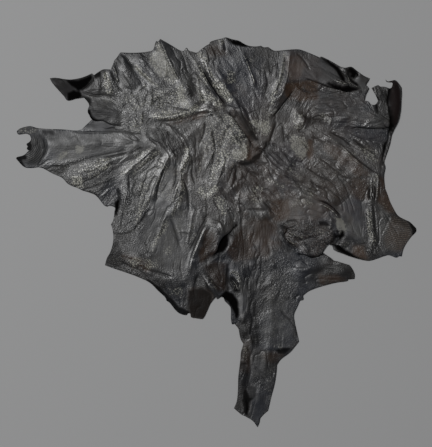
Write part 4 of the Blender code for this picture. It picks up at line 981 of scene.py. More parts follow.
class Chart:
    """A field of points over the marking grid, one to a square."""

    VEIN_REACH = 4.0     # squares past which a fine crease is out of reach
    PULL_SPREAD = 2      # squares over which a pull is at its strongest

    def __init__(self):
        x0, y0, x1, y1 = GRID_BOX
        self.shape = (int(y1 - y0) + 1, int(x1 - x0) + 1)
        rows, columns = np.mgrid[0:self.shape[0], 0:self.shape[1]]
        self.x = columns + x0
        self.y = rows + y0
        self.ways = self.pull_ways()

    def cloud(self, size, seed):
        """Smooth random field from -1 to 1, with lumps of about size squares."""
        dice = np.random.default_rng(seed)
        small = (int(self.shape[0] / size) + 4, int(self.shape[1] / size) + 4)
        knots = dice.uniform(-1, 1, small)
        column, row = (self.x - GRID_BOX[0]) / size, (self.y - GRID_BOX[1]) / size
        return between(knots, column, row, lambda share: steps(0, 1, share))

    def planes(self, size, seed):
        """Random field of flat three-cornered facets with sharp edges, about size squares each."""
        dice = np.random.default_rng(seed)
        knots = dice.uniform(-1, 1, [int(length / size) + 8 for length in self.shape])
        knots = np.pad(knots, ((0, 0), (0, knots.shape[0])), mode="wrap")
        x = (self.x + size * 0.7 * self.cloud(size * 1.6, seed + 1)) / size
        y = (self.y + size * 0.7 * self.cloud(size * 1.6, seed + 2)) / size
        column, row = x + y / 2 + 2, y + 2
        left, top = column.astype(int), row.astype(int)
        across, down = column - left, row - top
        far = across + down > 1
        corner = np.where(far, knots[top + 1, left + 1], knots[top, left])
        share = np.abs(1 - across - down)
        return (corner * share + knots[top, left + 1] * np.where(far, 1 - down, across)
                + knots[top + 1, left] * np.where(far, 1 - across, down))

    def sample(self, field, x, y):
        """A field's values at places on the marking grid."""
        within = 1.001       # points by which a place stays inside the chart's far sides
        return between(field, np.clip(x - GRID_BOX[0], 0, self.shape[1] - within),
                       np.clip(y - GRID_BOX[1], 0, self.shape[0] - within))

    def pull_ways(self):
        """The way of the pull at each point, as a unit step across and down."""
        cosine, sine = np.zeros(self.shape), np.zeros(self.shape)
        for x, y, angle in PULLS:
            share = ((self.x - x) ** 2 + (self.y - y) ** 2 + self.PULL_SPREAD ** 2) ** -1.5
            cosine += share * math.cos(2 * math.radians(angle))
            sine += share * math.sin(2 * math.radians(angle))
        turn = np.arctan2(sine, cosine) / 2
        return np.cos(turn), -np.sin(turn)

    def way_shares(self):
        """How far the pull runs along each of the six ways, 30 degrees apart."""
        turn = np.arctan2(-self.ways[1], self.ways[0])
        shares = []
        for number in range(WAYS):
            off = (turn - math.pi * number / WAYS + math.pi / 2) % math.pi - math.pi / 2
            shares.append(np.where(np.abs(off) < math.pi / WAYS, np.cos(off * WAYS / 2) ** 2, 0))
        return shares

    def streaks(self, size, reach, seed):
        """Random field drawn out along the pull: lumps of size squares, reach long."""
        grains = self.cloud(size, seed) + 0.5 * self.cloud(size * 0.6, seed + 50)
        way_x, way_y = self.ways
        total, stride = grains.copy(), size * 0.5
        for side in (1, -1):
            x, y = self.x.astype(float), self.y.astype(float)
            go_x, go_y = side * way_x, side * way_y
            for _ in range(max(1, round(reach / 2 / stride))):
                x += go_x * stride
                y += go_y * stride
                total += self.sample(grains, x, y)
                next_x, next_y = self.sample(way_x, x, y), self.sample(way_y, x, y)
                same = np.where(next_x * go_x + next_y * go_y < 0, -1, 1)
                go_x, go_y = next_x * same, next_y * same
        return total / total.std()

    def veins(self, size, reach, seed):
        """How far off, in squares, thin lines run that wander along the pull."""
        field = self.streaks(size, reach, seed)
        steepness = np.hypot(*np.gradient(field))
        return np.clip(field / np.maximum(steepness, 0.02), -self.VEIN_REACH, self.VEIN_REACH)

    def window(self, route, reach):
        """Rows and columns of the part of the chart near a route."""
        low = np.floor(route.min(axis=0) - reach - GRID_BOX[:2]).astype(int)
        high = np.ceil(route.max(axis=0) + reach - GRID_BOX[:2]).astype(int) + 1
        low = np.maximum(low, 0)
        high = np.minimum(high, self.shape[::-1])
        return slice(low[1], high[1]), slice(low[0], high[0])

    def near(self, route, area):
        """Distance from a route, positive on its left, the share along it, and its left."""
        x, y = self.x[area], self.y[area]
        best = np.full(x.shape, 1e9)
        side, share = np.ones(x.shape), np.zeros(x.shape)
        left_x, left_y = np.zeros(x.shape), np.zeros(x.shape)
        runs = len(route) - 1
        for i, (start, end) in enumerate(zip(route, route[1:])):
            along = end - start
            length = float(np.hypot(*along))
            t = np.clip(((x - start[0]) * along[0] + (y - start[1]) * along[1]) / length ** 2, 0, 1)
            off_x, off_y = x - start[0] - t * along[0], y - start[1] - t * along[1]
            away = np.hypot(off_x, off_y)
            closer = away < best
            best = np.where(closer, away, best)
            turn = along[1] * off_x - along[0] * off_y
            side = np.where(closer, np.where(turn >= 0, 1, -1), side)
            share = np.where(closer, (i + t) / runs, share)
            left_x = np.where(closer, along[1] / length, left_x)
            left_y = np.where(closer, -along[0] / length, left_y)
        return best * side, share, left_x, left_y


def groove_profile(s):
    """Height across a groove, s widths from its middle: a pinch between soft rims."""
    return 0.35 * np.exp(-(s / 2.4) ** 2) - np.exp(-np.abs(s) ** 1.4)


def crest_profile(s):
    """Height across a crest: a narrow rise in a shallow dip."""
    return np.exp(-np.abs(s) ** 1.5) - 0.25 * np.exp(-(s / 2.6) ** 2)


def lap_profile(s):
    """Height across a lap: high on its left, and pressed down on its right."""
    over = steps(-0.8, 0.8, s)
    return over * np.exp(-np.maximum(s, 0) / 2.6) - (1 - over) * 0.7 * np.exp(s / 2.0)


PROFILES = {"lap": lap_profile, "groove": groove_profile, "crest": crest_profile}


class Relief:
    """How the skin lies: its height, and how far its laps lean, over the marking grid."""

    LOFT = 0.0070        # height at which the skin lies where no fold leads it
    REACH = 0.050        # how far a fold is felt across the skin
    SINK = 0.0036        # the lowest stretches are pressed flat by this much
    ROUNDS = 1100        # rounds of relaxing, enough for the folds' reach
    HOLD = 24.0          # how firmly a fold's own height is held
    FADE = 0.22          # share of a fold over which it fades out at each end
    FAINTEST = 0.02      # how faintly a fold is drawn at its very ends
    DOTS = 4             # dots in each square that draw a fold
    OVERHANG = 3.0       # squares past the cut edge where the surface is reached
    OUTSIDE = 0.04       # share of skin nearby under which a place counts as bare surface
    SOFTEN = 3           # rounds of averaging that round the folds off
    SETTLE = 0.62        # how far the soft skin stands up, of its stiff folds' height
    LAP_LEAN = 1.25      # how far a lap leans over, in its own widths
    ROUTE_SPACING = 1.5  # squares between the points of a crease's route
    LINE_REACH = 4.0     # widths past which a thin line is out of reach
    # The dark line under a lap is painted shadow.
    UNDER_LAP = 0.6      # widths by which the dark line under a lap lies past its middle
    CREASE_REACH = 5     # widths past which a crease is out of reach
    CREASE_FADE = 0.25   # share of a crease over which it fades out at each end
    BLUNT = 0.03         # how far past its route's ends a crease still shows
    FAINT_MM = 0.5       # depth of a crease that draws no thin line
    STRONG_MM = 6.5      # depth of a crease whose thin line is at its strongest

    def __init__(self, sizes):
        self.sizes = sizes
        self.chart = Chart()
        self.target = np.zeros(self.chart.shape)
        self.pull = np.zeros(self.chart.shape)
        for rows in FOLDS.values():
            for lift, *route in rows:
                self.draw(lift * sizes.leather, smooth_route(pairs(route), 1 / self.DOTS))
        self.pin_outside()
        self.height = self.relax()
        self.lean_x = np.zeros(self.chart.shape)
        self.lean_y = np.zeros(self.chart.shape)
        self.seam_off, self.painted_crease_shade_strength = self.no_lines()
        self.glint_off, self.glint_light = self.no_lines()
        self.press_creases()
        self.add_wrinkles()
        self.height = np.maximum(self.height, 0)

    def draw(self, height, route):
        """Pull the points beside a fold's route to its height, less and less at its ends."""
        along = np.linspace(0, 1, len(route))
        firm = np.clip(np.minimum(along, 1 - along) / self.FADE, self.FAINTEST, 1)
        column = route[:, 0] - GRID_BOX[0]
        row = route[:, 1] - GRID_BOX[1]
        left, top = np.floor(column).astype(int), np.floor(row).astype(int)
        for side in (0, 1):
            for end in (0, 1):
                share = np.abs(1 - side - column + left) * np.abs(1 - end - row + top)
                pull = share * firm / self.DOTS
                np.add.at(self.target, (top + end, left + side), pull * height)
                np.add.at(self.pull, (top + end, left + side), pull)

    def pin_outside(self):
        """Pin the surface just outside the cut edge."""
        near = inside(cut_edge(1.0), self.chart.x, self.chart.y).astype(float)
        bare = spread(near, round(4 * self.OVERHANG ** 2)) < self.OUTSIDE
        self.target[bare] = 0.0
        self.pull[bare] = 1.0

    def relax(self):
        """Let the skin span from fold to fold, and flatten its lowest stretches."""
        held = self.pull > 0
        goal = np.where(held, self.target / np.where(held, self.pull, 1), 0)
        hold = self.HOLD * np.minimum(self.pull, 1)
        ease = 4 * (STEP / self.REACH) ** 2
        height = np.where(held, goal, self.LOFT)
        for _ in range(self.ROUNDS):
            height = (beside(height) + ease * self.LOFT + hold * goal) / (4 + ease + hold)
        return self.SETTLE * np.maximum(spread(height, self.SOFTEN) - self.SINK, 0)

    def no_lines(self):
        """Fields for a set of thin lines: how far off the nearest is, and its strength."""
        return np.full(self.chart.shape, self.LINE_REACH), np.zeros(self.chart.shape)

    def press_creases(self):
        """Pinch the grooves in, raise the crests and lay the laps over, and draw the lines of painted
        shade along grooves and under laps and of painted highlight along crests.
        """
        for kind, rows in CREASES.items():
            for depth_mm, width, *numbers in rows:
                route = smooth_route(pairs(numbers), self.ROUTE_SPACING)
                area = self.chart.window(route, self.CREASE_REACH * width)
                away, share, left_x, left_y = self.chart.near(route, area)
                fade = steps(0, self.CREASE_FADE, np.minimum(share, 1 - share) + self.BLUNT)
                s = away / width
                strength = fade * steps(self.FAINT_MM, self.STRONG_MM, depth_mm)
                self.height[area] += depth_mm * MM * self.sizes.crease_depth * fade * PROFILES[kind](s)
                if kind == "crest":
                    # Painted highlight: a pale line along the crest in the finish.
                    self.draw_line(self.glint_off, self.glint_light, area, s, strength)
                elif kind == "groove":
                    # Painted shade: a dark line along the groove in the finish.
                    self.draw_line(self.seam_off, self.painted_crease_shade_strength, area, s, strength)
                else:
                    # Painted shadow: a dark line under the lap in the finish.
                    self.draw_line(self.seam_off, self.painted_crease_shade_strength, area, s + self.UNDER_LAP, strength)
                    lean = self.LAP_LEAN * width * fade * s * np.exp((1 - s ** 2) / 2)
                    self.lean_x[area] -= lean * left_x
                    self.lean_y[area] -= lean * left_y

    def draw_line(self, off, strengths, area, s, strength):
        """Write a thin line into a pair of fields where it is the nearest one."""
        nearer = (np.abs(s) < np.abs(off[area])) & (strength > 0)
        off[area] = np.where(nearer, s, off[area])
        strengths[area] = np.where(nearer, strength * steps(2.4, 1.6, np.abs(s)), strengths[area])

    def add_wrinkles(self):
        """Lay the fields of fine wrinkles and the small unevenness of the whole skin."""
        chart = self.chart
        warp = 2.2 * chart.cloud(9, 3) + 1.2 * chart.cloud(4, 4)
        patchy = steps(-0.5, 0.6, chart.cloud(6, 5))
        for field in map(Wrinkles._make, WRINKLES):
            turn = math.radians(field.angle)
            off_x, off_y = chart.x - field.x, chart.y - field.y
            across = off_x * math.sin(turn) + off_y * math.cos(turn)
            apart = np.hypot(off_x / field.reach_x, off_y / field.reach_y)
            mask = steps(1.15, 0.55, apart) * (0.35 + 0.65 * patchy)
            wave = np.abs(np.sin(math.pi * (across + 0.5 * warp) / field.pitch))
            self.height += field.depth_mm * MM * mask * (wave - 0.6)
        calm = 1 - 0.85 * tone_field(chart, "calm")
        self.vein_off = chart.veins(6, 24, 61)
        # The finest creases are pressed in, and in the finish they get a line of painted shade.
        self.vein_dark = steps(-0.35, 0.4, chart.cloud(15, 62)) * calm
        self.height -= self.sizes.vein_depth * self.vein_dark * np.exp(-(self.vein_off / 1.2) ** 2)
        puffs = np.abs(chart.streaks(8, 30, 31)) - 0.35 * np.abs(chart.streaks(10, 40, 32))
        planes = chart.planes(17, 35) + 0.45 * chart.planes(8, 45)
        pinches = np.abs(chart.streaks(4.2, 15, 33))
        fine = np.abs(chart.streaks(2.3, 7, 34))
        crumple = 2.2 * planes + 0.35 * puffs + 0.3 * pinches + 0.15 * fine - 0.3
        self.height += steps(0.0, 0.006, self.height) * self.sizes.crumple * calm * crumple


def facets_of(tone):
    """The strength and the corners of each facet that has a tone."""
    for (name, strength), rows in FACETS.items():
        if name == tone:
            for numbers in rows:
                if len(numbers) == 4:
                    left, top, right, low = numbers
                    numbers = (left, top, right, top, right, low, left, low)
                yield strength, np.array(pairs(numbers), float)


def tone_field(chart, tone):
    """How strongly each place has one of the tones, from 0 to 1."""
    field = np.zeros(chart.shape)
    ragged = 0.28 * chart.cloud(7, 21) + 0.18 * chart.cloud(3, 22)
    for patch in map(Patch._make, PATCHES):
        if patch.tone == tone:
            turn = math.radians(patch.turn)
            off_x, off_y = chart.x - patch.x, chart.y - patch.y
            along = off_x * math.cos(turn) - off_y * math.sin(turn)
            across = off_x * math.sin(turn) + off_y * math.cos(turn)
            apart = np.hypot(along / patch.reach_x, across / patch.reach_y) + ragged
            soft = 0.25 if tone == "turned" else 0.6
            field = np.maximum(field, patch.strength * steps(1 + soft / 2, 1 - soft, apart))
    soften, jog = TONES[tone]
    jog_x = chart.x + jog * (chart.cloud(5, 23) + 0.5 * chart.cloud(2, 25))
    jog_y = chart.y + jog * (chart.cloud(5, 24) + 0.5 * chart.cloud(2, 26))
    for strength, loop in facets_of(tone):
        area = chart.window(loop, FACET_MARGIN)
        mask = spread(inside(loop, jog_x[area], jog_y[area]).astype(float), soften)
        field[area] = np.maximum(field[area], strength * mask)
    return field


# ---------------------------------------------------------------- materials

def group_output(tree, name, kind):
    tree.interface.new_socket(name=name, in_out="OUTPUT", socket_type=kind)


def group_input(tree, name, value):
    socket = tree.interface.new_socket(name=name, in_out="INPUT", socket_type="NodeSocketFloat")
    socket.default_value = value


def math_node(tree, operation, first, second=None, clamp=False):
    """A Math node fed by sockets or numbers; gives its output socket."""
    node = tree.nodes.new("ShaderNodeMath")
    node.operation = operation
    node.use_clamp = clamp
    for slot, value in enumerate((first, second)):
        if value is None:
            continue
        if isinstance(value, (int, float)):
            node.inputs[slot].default_value = value
        else:
            tree.links.new(value, node.inputs[slot])
    return node.outputs[0]


def pebbled_grain():
    """Node group: the pebbled grain of a skin, as a height and as a mask of pebble tops."""
    tree = bpy.data.node_groups.new("pebbled grain", "ShaderNodeTree")
    group_input(tree, "Pebble Size", 0.0032)
    group_input(tree, "Unevenness", 0.5)
    group_output(tree, "Height", "NodeSocketFloat")
    group_output(tree, "Tops", "NodeSocketFloat")
    start, end = tree.nodes.new("NodeGroupInput"), tree.nodes.new("NodeGroupOutput")
    place = tree.nodes.new("ShaderNodeTexCoord").outputs["Object"]
    scale = math_node(tree, "DIVIDE", 1.0, start.outputs["Pebble Size"])

    bend = tree.nodes.new("ShaderNodeTexNoise")
    tree.links.new(place, bend.inputs["Vector"])
    tree.links.new(math_node(tree, "MULTIPLY", scale, 0.6), bend.inputs["Scale"])
    bend.inputs["Detail"].default_value = 2.0
    push = tree.nodes.new("ShaderNodeVectorMath")
    push.operation = "MULTIPLY_ADD"
    tree.links.new(bend.outputs["Color"], push.inputs[0])
    push.inputs[1].default_value = (0.006, 0.006, 0.006)
    tree.links.new(place, push.inputs[2])

    cells = tree.nodes.new("ShaderNodeTexVoronoi")
    cells.feature = "DISTANCE_TO_EDGE"
    tree.links.new(push.outputs[0], cells.inputs["Vector"])
    tree.links.new(scale, cells.inputs["Scale"])
    tops = tree.nodes.new("ShaderNodeMapRange")
    tops.interpolation_type = "SMOOTHSTEP"
    tree.links.new(cells.outputs["Distance"], tops.inputs["Value"])
    tops.inputs["From Max"].default_value = 0.32

    fine = tree.nodes.new("ShaderNodeTexNoise")
    tree.links.new(push.outputs[0], fine.inputs["Vector"])
    tree.links.new(math_node(tree, "MULTIPLY", scale, 1.4), fine.inputs["Scale"])
    fine.inputs["Detail"].default_value = 4.0
    rough = math_node(tree, "MULTIPLY", fine.outputs["Fac"], start.outputs["Unevenness"])
    height = math_node(tree, "ADD", tops.outputs["Result"], rough)
    tree.links.new(height, end.inputs["Height"])
    speckled = math_node(tree, "MULTIPLY", tops.outputs["Result"], fine.outputs["Fac"])
    tree.links.new(speckled, end.inputs["Tops"])
    return tree


def attribute(tree, name):
    node = tree.nodes.new("ShaderNodeAttribute")
    node.attribute_name = name
    return node.outputs["Fac"]


def mix_colour(tree, share, first, second):
    """A colour mixed from two, each a socket or a colour, by a share."""
    node = tree.nodes.new("ShaderNodeMix")
    node.data_type = "RGBA"
    for slot, value in (("A", first), ("B", second)):
        socket = next(s for s in node.inputs if s.name == slot and s.type == "RGBA")
        if isinstance(value, bpy.types.NodeSocket):
            tree.links.new(value, socket)
        else:
            socket.default_value = (*value, 1)
    factor = next(s for s in node.inputs if s.name == "Factor" and s.type == "VALUE")
    tree.links.new(share, factor)
    return next(s for s in node.outputs if s.type == "RGBA")


def noise(tree, size, detail=3.0, shift=(0, 0, 0)):
    """Noise with lumps of about size metres, in the piece's own coordinates."""
    place = tree.nodes.new("ShaderNodeTexCoord").outputs["Object"]
    move = tree.nodes.new("ShaderNodeMapping")
    tree.links.new(place, move.inputs["Vector"])
    move.inputs["Location"].default_value = shift
    node = tree.nodes.new("ShaderNodeTexNoise")
    tree.links.new(move.outputs[0], node.inputs["Vector"])
    node.inputs["Scale"].default_value = 1 / size
    node.inputs["Detail"].default_value = detail
    return node.outputs["Fac"]


def ramp(tree, value, low, high, to_low=0.0, to_high=1.0):
    node = tree.nodes.new("ShaderNodeMapRange")
    node.interpolation_type = "SMOOTHSTEP"
    tree.links.new(value, node.inputs["Value"])
    for name, number in (("From Min", low), ("From Max", high), ("To Min", to_low), ("To Max", to_high)):
        node.inputs[name].default_value = number
    return node.outputs["Result"]


def new_material(name):
    material = bpy.data.materials.new(name)
    material.use_nodes = True
    return material, material.node_tree, material.node_tree.nodes["Principled BSDF"]


def place_grain(tree, grain, pebble, unevenness):
    node = tree.nodes.new("ShaderNodeGroup")
    node.node_tree = grain
    node.inputs["Pebble Size"].default_value = pebble
    node.inputs["Unevenness"].default_value = unevenness
    return node


def bump(tree, height, depth, after=None):
    node = tree.nodes.new("ShaderNodeBump")
    node.inputs["Distance"].default_value = depth
    tree.links.new(height, node.inputs["Height"])
    if after is not None:
        tree.links.new(after, node.inputs["Normal"])
    return node.outputs["Normal"]


def drawn_wrinkles(tree, pitch, stretch):
    """Fine wrinkles that run along the pull, as a height: one noise for each way."""
    place = tree.nodes.new("ShaderNodeTexCoord").outputs["Object"]
    total = None
    for number in range(WAYS):
        turn = tree.nodes.new("ShaderNodeMapping")
        turn.vector_type = "TEXTURE"
        tree.links.new(place, turn.inputs["Vector"])
        turn.inputs["Rotation"].default_value = (0, 0, math.pi * number / WAYS)
        turn.inputs["Scale"].default_value = (pitch * stretch, pitch, pitch)
        waves = tree.nodes.new("ShaderNodeTexNoise")
        tree.links.new(turn.outputs[0], waves.inputs["Vector"])
        waves.inputs["Scale"].default_value = 1.0
        waves.inputs["Detail"].default_value = 1.5
        crease = math_node(tree, "ABSOLUTE", math_node(tree, "SUBTRACT", waves.outputs["Fac"], 0.5))
        drawn = math_node(tree, "MULTIPLY", crease, attribute(tree, f"way_{number}"))
        total = drawn if total is None else math_node(tree, "ADD", total, drawn)
    return math_node(tree, "MULTIPLY", total, 4.0)


def drawn_rings(tree):
    """Rings of fine wrinkles round the ends of the shanks: masks of their furrows and tops."""
    place = tree.nodes.new("ShaderNodeTexCoord").outputs["Object"]
    furrows, tops = [], []
    for number, rings in enumerate(map(Rings._make, RINGS)):
        away = tree.nodes.new("ShaderNodeVectorMath")
        away.operation = "DISTANCE"
        tree.links.new(place, away.inputs[0])
        away.inputs[1].default_value = (*on_surface(rings.centre_x, rings.centre_y), 0)
        turns = math_node(tree, "MULTIPLY", away.outputs["Value"], math.pi / (rings.pitch * STEP))
        wave = math_node(tree, "ABSOLUTE", math_node(tree, "SINE", turns))
        here = attribute(tree, f"rings_{number}")
        furrows.append(times(tree, ramp(tree, wave, 0.2, 0.7, 1.0, 0.0), here))
        tops.append(times(tree, ramp(tree, wave, 0.7, 1.0), here))
    return most(tree, *furrows), most(tree, *tops)


def thin_line(tree, name, strength, width):
    """Mask of a thin line along a route: 1 on the line and 0 past its half width."""
    off = math_node(tree, "ABSOLUTE", attribute(tree, name))
    return math_node(tree, "MULTIPLY", ramp(tree, off, width * 0.25, width, 1.0, 0.0),
                     attribute(tree, strength))


def most(tree, *shares):
    """The greatest of some shares."""
    top = shares[0]
    for share in shares[1:]:
        top = math_node(tree, "MAXIMUM", top, share)
    return top


def times(tree, first, second):
    return math_node(tree, "MULTIPLY", first, second, clamp=True)


def rest(tree, share):
    """What a share leaves of the whole."""
    return math_node(tree, "SUBTRACT", 1.0, share)


def grain_side(looks, grain):
    """Black semi-gloss grain side, brown where the dye is thin and pale where wear has polished it,
    with painted highlights along crests, painted sheen in broad patches, and painted shade and
    shadow in creases, hollows and dark places.
    """
    material, tree, shader = new_material("black grain leather")
    pebbles = place_grain(tree, grain, looks.pebble, 0.7)
    small = place_grain(tree, grain, looks.pebble * 0.42, 0.6)
    brown, worn_and_highlight, painted_sheen = attribute(tree, "brown"), attribute(tree, "worn_and_highlight"), attribute(tree, "painted_sheen")
    turned, dull_and_shaded, painted_shadow = attribute(tree, "turned"), attribute(tree, "dull_and_shaded"), attribute(tree, "painted_shadow")
    hollow, crest, calm = attribute(tree, "hollow"), attribute(tree, "crest"), attribute(tree, "calm")
    # Painted shade: a dark line along each groove and under each lap.
    seam = thin_line(tree, "seam", "painted_crease_shade_strength", looks.seam)
    # Painted highlight: a pale line along each crest.
    glint = thin_line(tree, "glint", "glint_light", looks.glint)
    # Painted shade: a dark line along the finest creases.
    vein = thin_line(tree, "vein", "vein_dark", looks.vein)
    grainy = attribute(tree, "grain")
    # Painted shade in the ring furrows, and a faint painted highlight on the ring tops.
    furrow, ring = drawn_rings(tree)

    bluish = most(tree, ramp(tree, noise(tree, 0.16, 4), 0.40, 0.75), attribute(tree, "cool"))
    cool = mix_colour(tree, bluish, looks.black, looks.blue_black)
    # Painted sheen: lighter grey where more light falls, laid in broad patches and facets.
    thin = mix_colour(tree, times(tree, painted_sheen, ramp(tree, noise(tree, 0.04, 5), 0.2, 0.7)),
                      cool, looks.painted_sheen_grey)
    thin = mix_colour(tree, times(tree, calm, ramp(tree, noise(tree, 0.028, 6, (1, 2, 0)), 0.35, 0.65)),
                      thin, looks.smooth_grey)
    dyed = mix_colour(tree, times(tree, brown, ramp(tree, noise(tree, 0.03, 4), 0.15, 0.55)),
                      thin, looks.brown)
    # Painted shade: dull places are darkened towards the shade black.
    unlit = mix_colour(tree, times(tree, dull_and_shaded, 0.55), dyed, looks.painted_shade_black)
    patchy = math_node(tree, "ADD", ramp(tree, pebbles.outputs["Tops"], 0.04, 0.36, 0.0, 0.75),
                       ramp(tree, noise(tree, 0.009, 3, (3, 1, 0)), 0.36, 0.62, 0.0, 0.25))
    # Pale with wear on worn places, and with painted highlights on crests, crest lines and pebble tops.
    rubbed_and_highlight = most(tree, worn_and_highlight, times(tree, crest, 0.5), times(tree, glint, 0.8),
                  ramp(tree, grainy, 0.4, 1.0, 0.0, 0.24))
    blotchy = ramp(tree, noise(tree, 0.007, 4, (2, 6, 0)), 0.3, 0.7, 0.3, 0.8)
    patchy = most(tree, patchy, times(tree, calm, blotchy))
    rubbed_and_highlight = times(tree, ramp(tree, math_node(tree, "ADD", rubbed_and_highlight, patchy), 1.0, 1.45), rubbed_and_highlight)
    rubbed_and_highlight = times(tree, rubbed_and_highlight, rest(tree, times(tree, calm, 0.62)))
    pale = mix_colour(tree, most(tree, rubbed_and_highlight, times(tree, ring, 0.15)), unlit, looks.worn_and_highlight_grey)
    pebbly = times(tree, most(tree, grainy, worn_and_highlight), rest(tree, calm))
    # Painted shade: dark gaps between the pebbles where the grain stands out.
    pebble_gap_shade = times(tree, ramp(tree, pebbles.outputs["Tops"], 0.02, 0.35, 0.9, 0.0), pebbly)
    # Painted shadow: places where no light gets in go near black, less so under a pale crest line.
    dark = times(tree, painted_shadow, rest(tree, times(tree, glint, 0.75)))
    # Painted shade and shadow: creases, laps, dark places, hollows, fine creases and ring furrows go near
    # black.
    shaded = most(tree, seam, dark, times(tree, hollow, 0.4), times(tree, vein, 0.75),
                  times(tree, furrow, 0.95))
    smooth = mix_colour(tree, turned, pale, looks.turned_side)
    low = mix_colour(tree, most(tree, shaded, pebble_gap_shade), smooth, looks.painted_shade_black)
    tree.links.new(low, shader.inputs["Base Color"])

    base = ramp(tree, noise(tree, 0.02, 4, (0, 5, 0)), 0.3, 0.7,
                looks.roughness - 0.07, looks.roughness + 0.09)
    base = math_node(tree, "SUBTRACT", base, times(tree, rubbed_and_highlight, 0.08))
    base = math_node(tree, "ADD", base, times(tree, turned, 0.14))
    base = math_node(tree, "ADD", base, times(tree, calm, 0.12))
    base = math_node(tree, "ADD", base, times(tree, shaded, 0.35), clamp=True)
    tree.links.new(base, shader.inputs["Roughness"])

    grainy = times(tree, grainy, rest(tree, turned))
    lumps = bump(tree, times(tree, noise(tree, 0.012, 4, (7, 0, 0)), grainy), looks.lump_depth)
    wrinkled = bump(tree, drawn_wrinkles(tree, looks.wrinkle, 5.0), looks.wrinkle_depth, lumps)
    normal = bump(tree, times(tree, pebbles.outputs["Height"], grainy), looks.pebble_depth, wrinkled)
    normal = bump(tree, times(tree, small.outputs["Height"], grainy), looks.pebble_depth * 0.3, normal)
    pinch = math_node(tree, "SUBTRACT", thin_line(tree, "glint", "glint_light", looks.glint * 1.6),
                      thin_line(tree, "seam", "painted_crease_shade_strength", looks.seam * 1.8))
    pinch = math_node(tree, "SUBTRACT", pinch,
                      times(tree, thin_line(tree, "vein", "vein_dark", looks.vein * 2), 0.5))
    tree.links.new(bump(tree, pinch, looks.pinch_depth, normal), shader.inputs["Normal"])
    matt = most(tree, times(tree, turned, 0.88), seam, dark, times(tree, dull_and_shaded, 0.65),
                times(tree, hollow, 0.5), times(tree, calm, 0.4))
    shine = math_node(tree, "ADD", looks.shine, times(tree, painted_sheen, 0.25))
    shine = times(tree, shine, rest(tree, matt))
    tree.links.new(shine, shader.inputs["Specular IOR Level"])
    shader.inputs["IOR"].default_value = 1.6
    return material


def flesh_side(looks, grain):
    """The underside: matt, fibrous, dark brown-grey."""
    material, tree, shader = new_material("flesh side")
    fibres = place_grain(tree, grain, 0.0016, 1.2)
    colour = mix_colour(tree, ramp(tree, noise(tree, 0.05, 4), 0.3, 0.7), looks.flesh, looks.turned_side)
    tree.links.new(colour, shader.inputs["Base Color"])
    shader.inputs["Roughness"].default_value = 0.86
    tree.links.new(bump(tree, fibres.outputs["Height"], 0.0004), shader.inputs["Normal"])
    shader.inputs["Sheen Weight"].default_value = 0.15
    return material


def cut_side(looks, grain):
    """The cut edge: paler fibres between the two faces."""
    material, tree, shader = new_material("cut edge")
    fibres = place_grain(tree, grain, 0.0010, 1.0)
    colour = mix_colour(tree, ramp(tree, noise(tree, 0.012, 3), 0.35, 0.65), looks.flesh, looks.cut_grey)
    tree.links.new(colour, shader.inputs["Base Color"])
    shader.inputs["Roughness"].default_value = 0.8
    tree.links.new(bump(tree, fibres.outputs["Height"], 0.0003), shader.inputs["Normal"])
    return material


def floor_finish(looks):
    """Plain pale matt floor."""
    material, tree, shader = new_material("plain floor")
    shade = looks.floor
    colour = mix_colour(tree, noise(tree, 0.6, 2), shade, [value * 1.015 for value in shade])
    tree.links.new(colour, shader.inputs["Base Color"])
    shader.inputs["Roughness"].default_value = 0.9
    shader.inputs["Specular IOR Level"].default_value = 0.2
    return material


# ---------------------------------------------------------------- settings

def colour(name, description, default):
    return FloatVectorProperty(name=name, description=description, subtype="COLOR", size=3,
                               min=0, max=1, default=default)


def length(name, description, default, least=0.0):
    return FloatProperty(name=name, description=description, default=default, min=least, unit="LENGTH")


def amount(name, description, default, greatest=10.0):
    return FloatProperty(name=name, description=description, default=default, min=0, max=greatest)


def place(name, description, default):
    return FloatVectorProperty(name=name, description=description, size=3, default=default,
                               subtype="TRANSLATION")


class HideSizes(bpy.types.PropertyGroup):
    """Sizes of the skin."""

    leather: length("Leather", "Thickness of the leather", 0.0012, 0.0005)
    cell: length("Cell", "Size of the skin's mesh cells", 0.0032, 0.002)
    crease_depth: amount("Crease Depth", "Depth of the small creases, times", 0.45)
    vein_depth: length("Vein Depth", "Depth of the finest creases", 0.0006)
    crumple: length("Crumple", "Small unevenness of the whole skin", 0.0012)


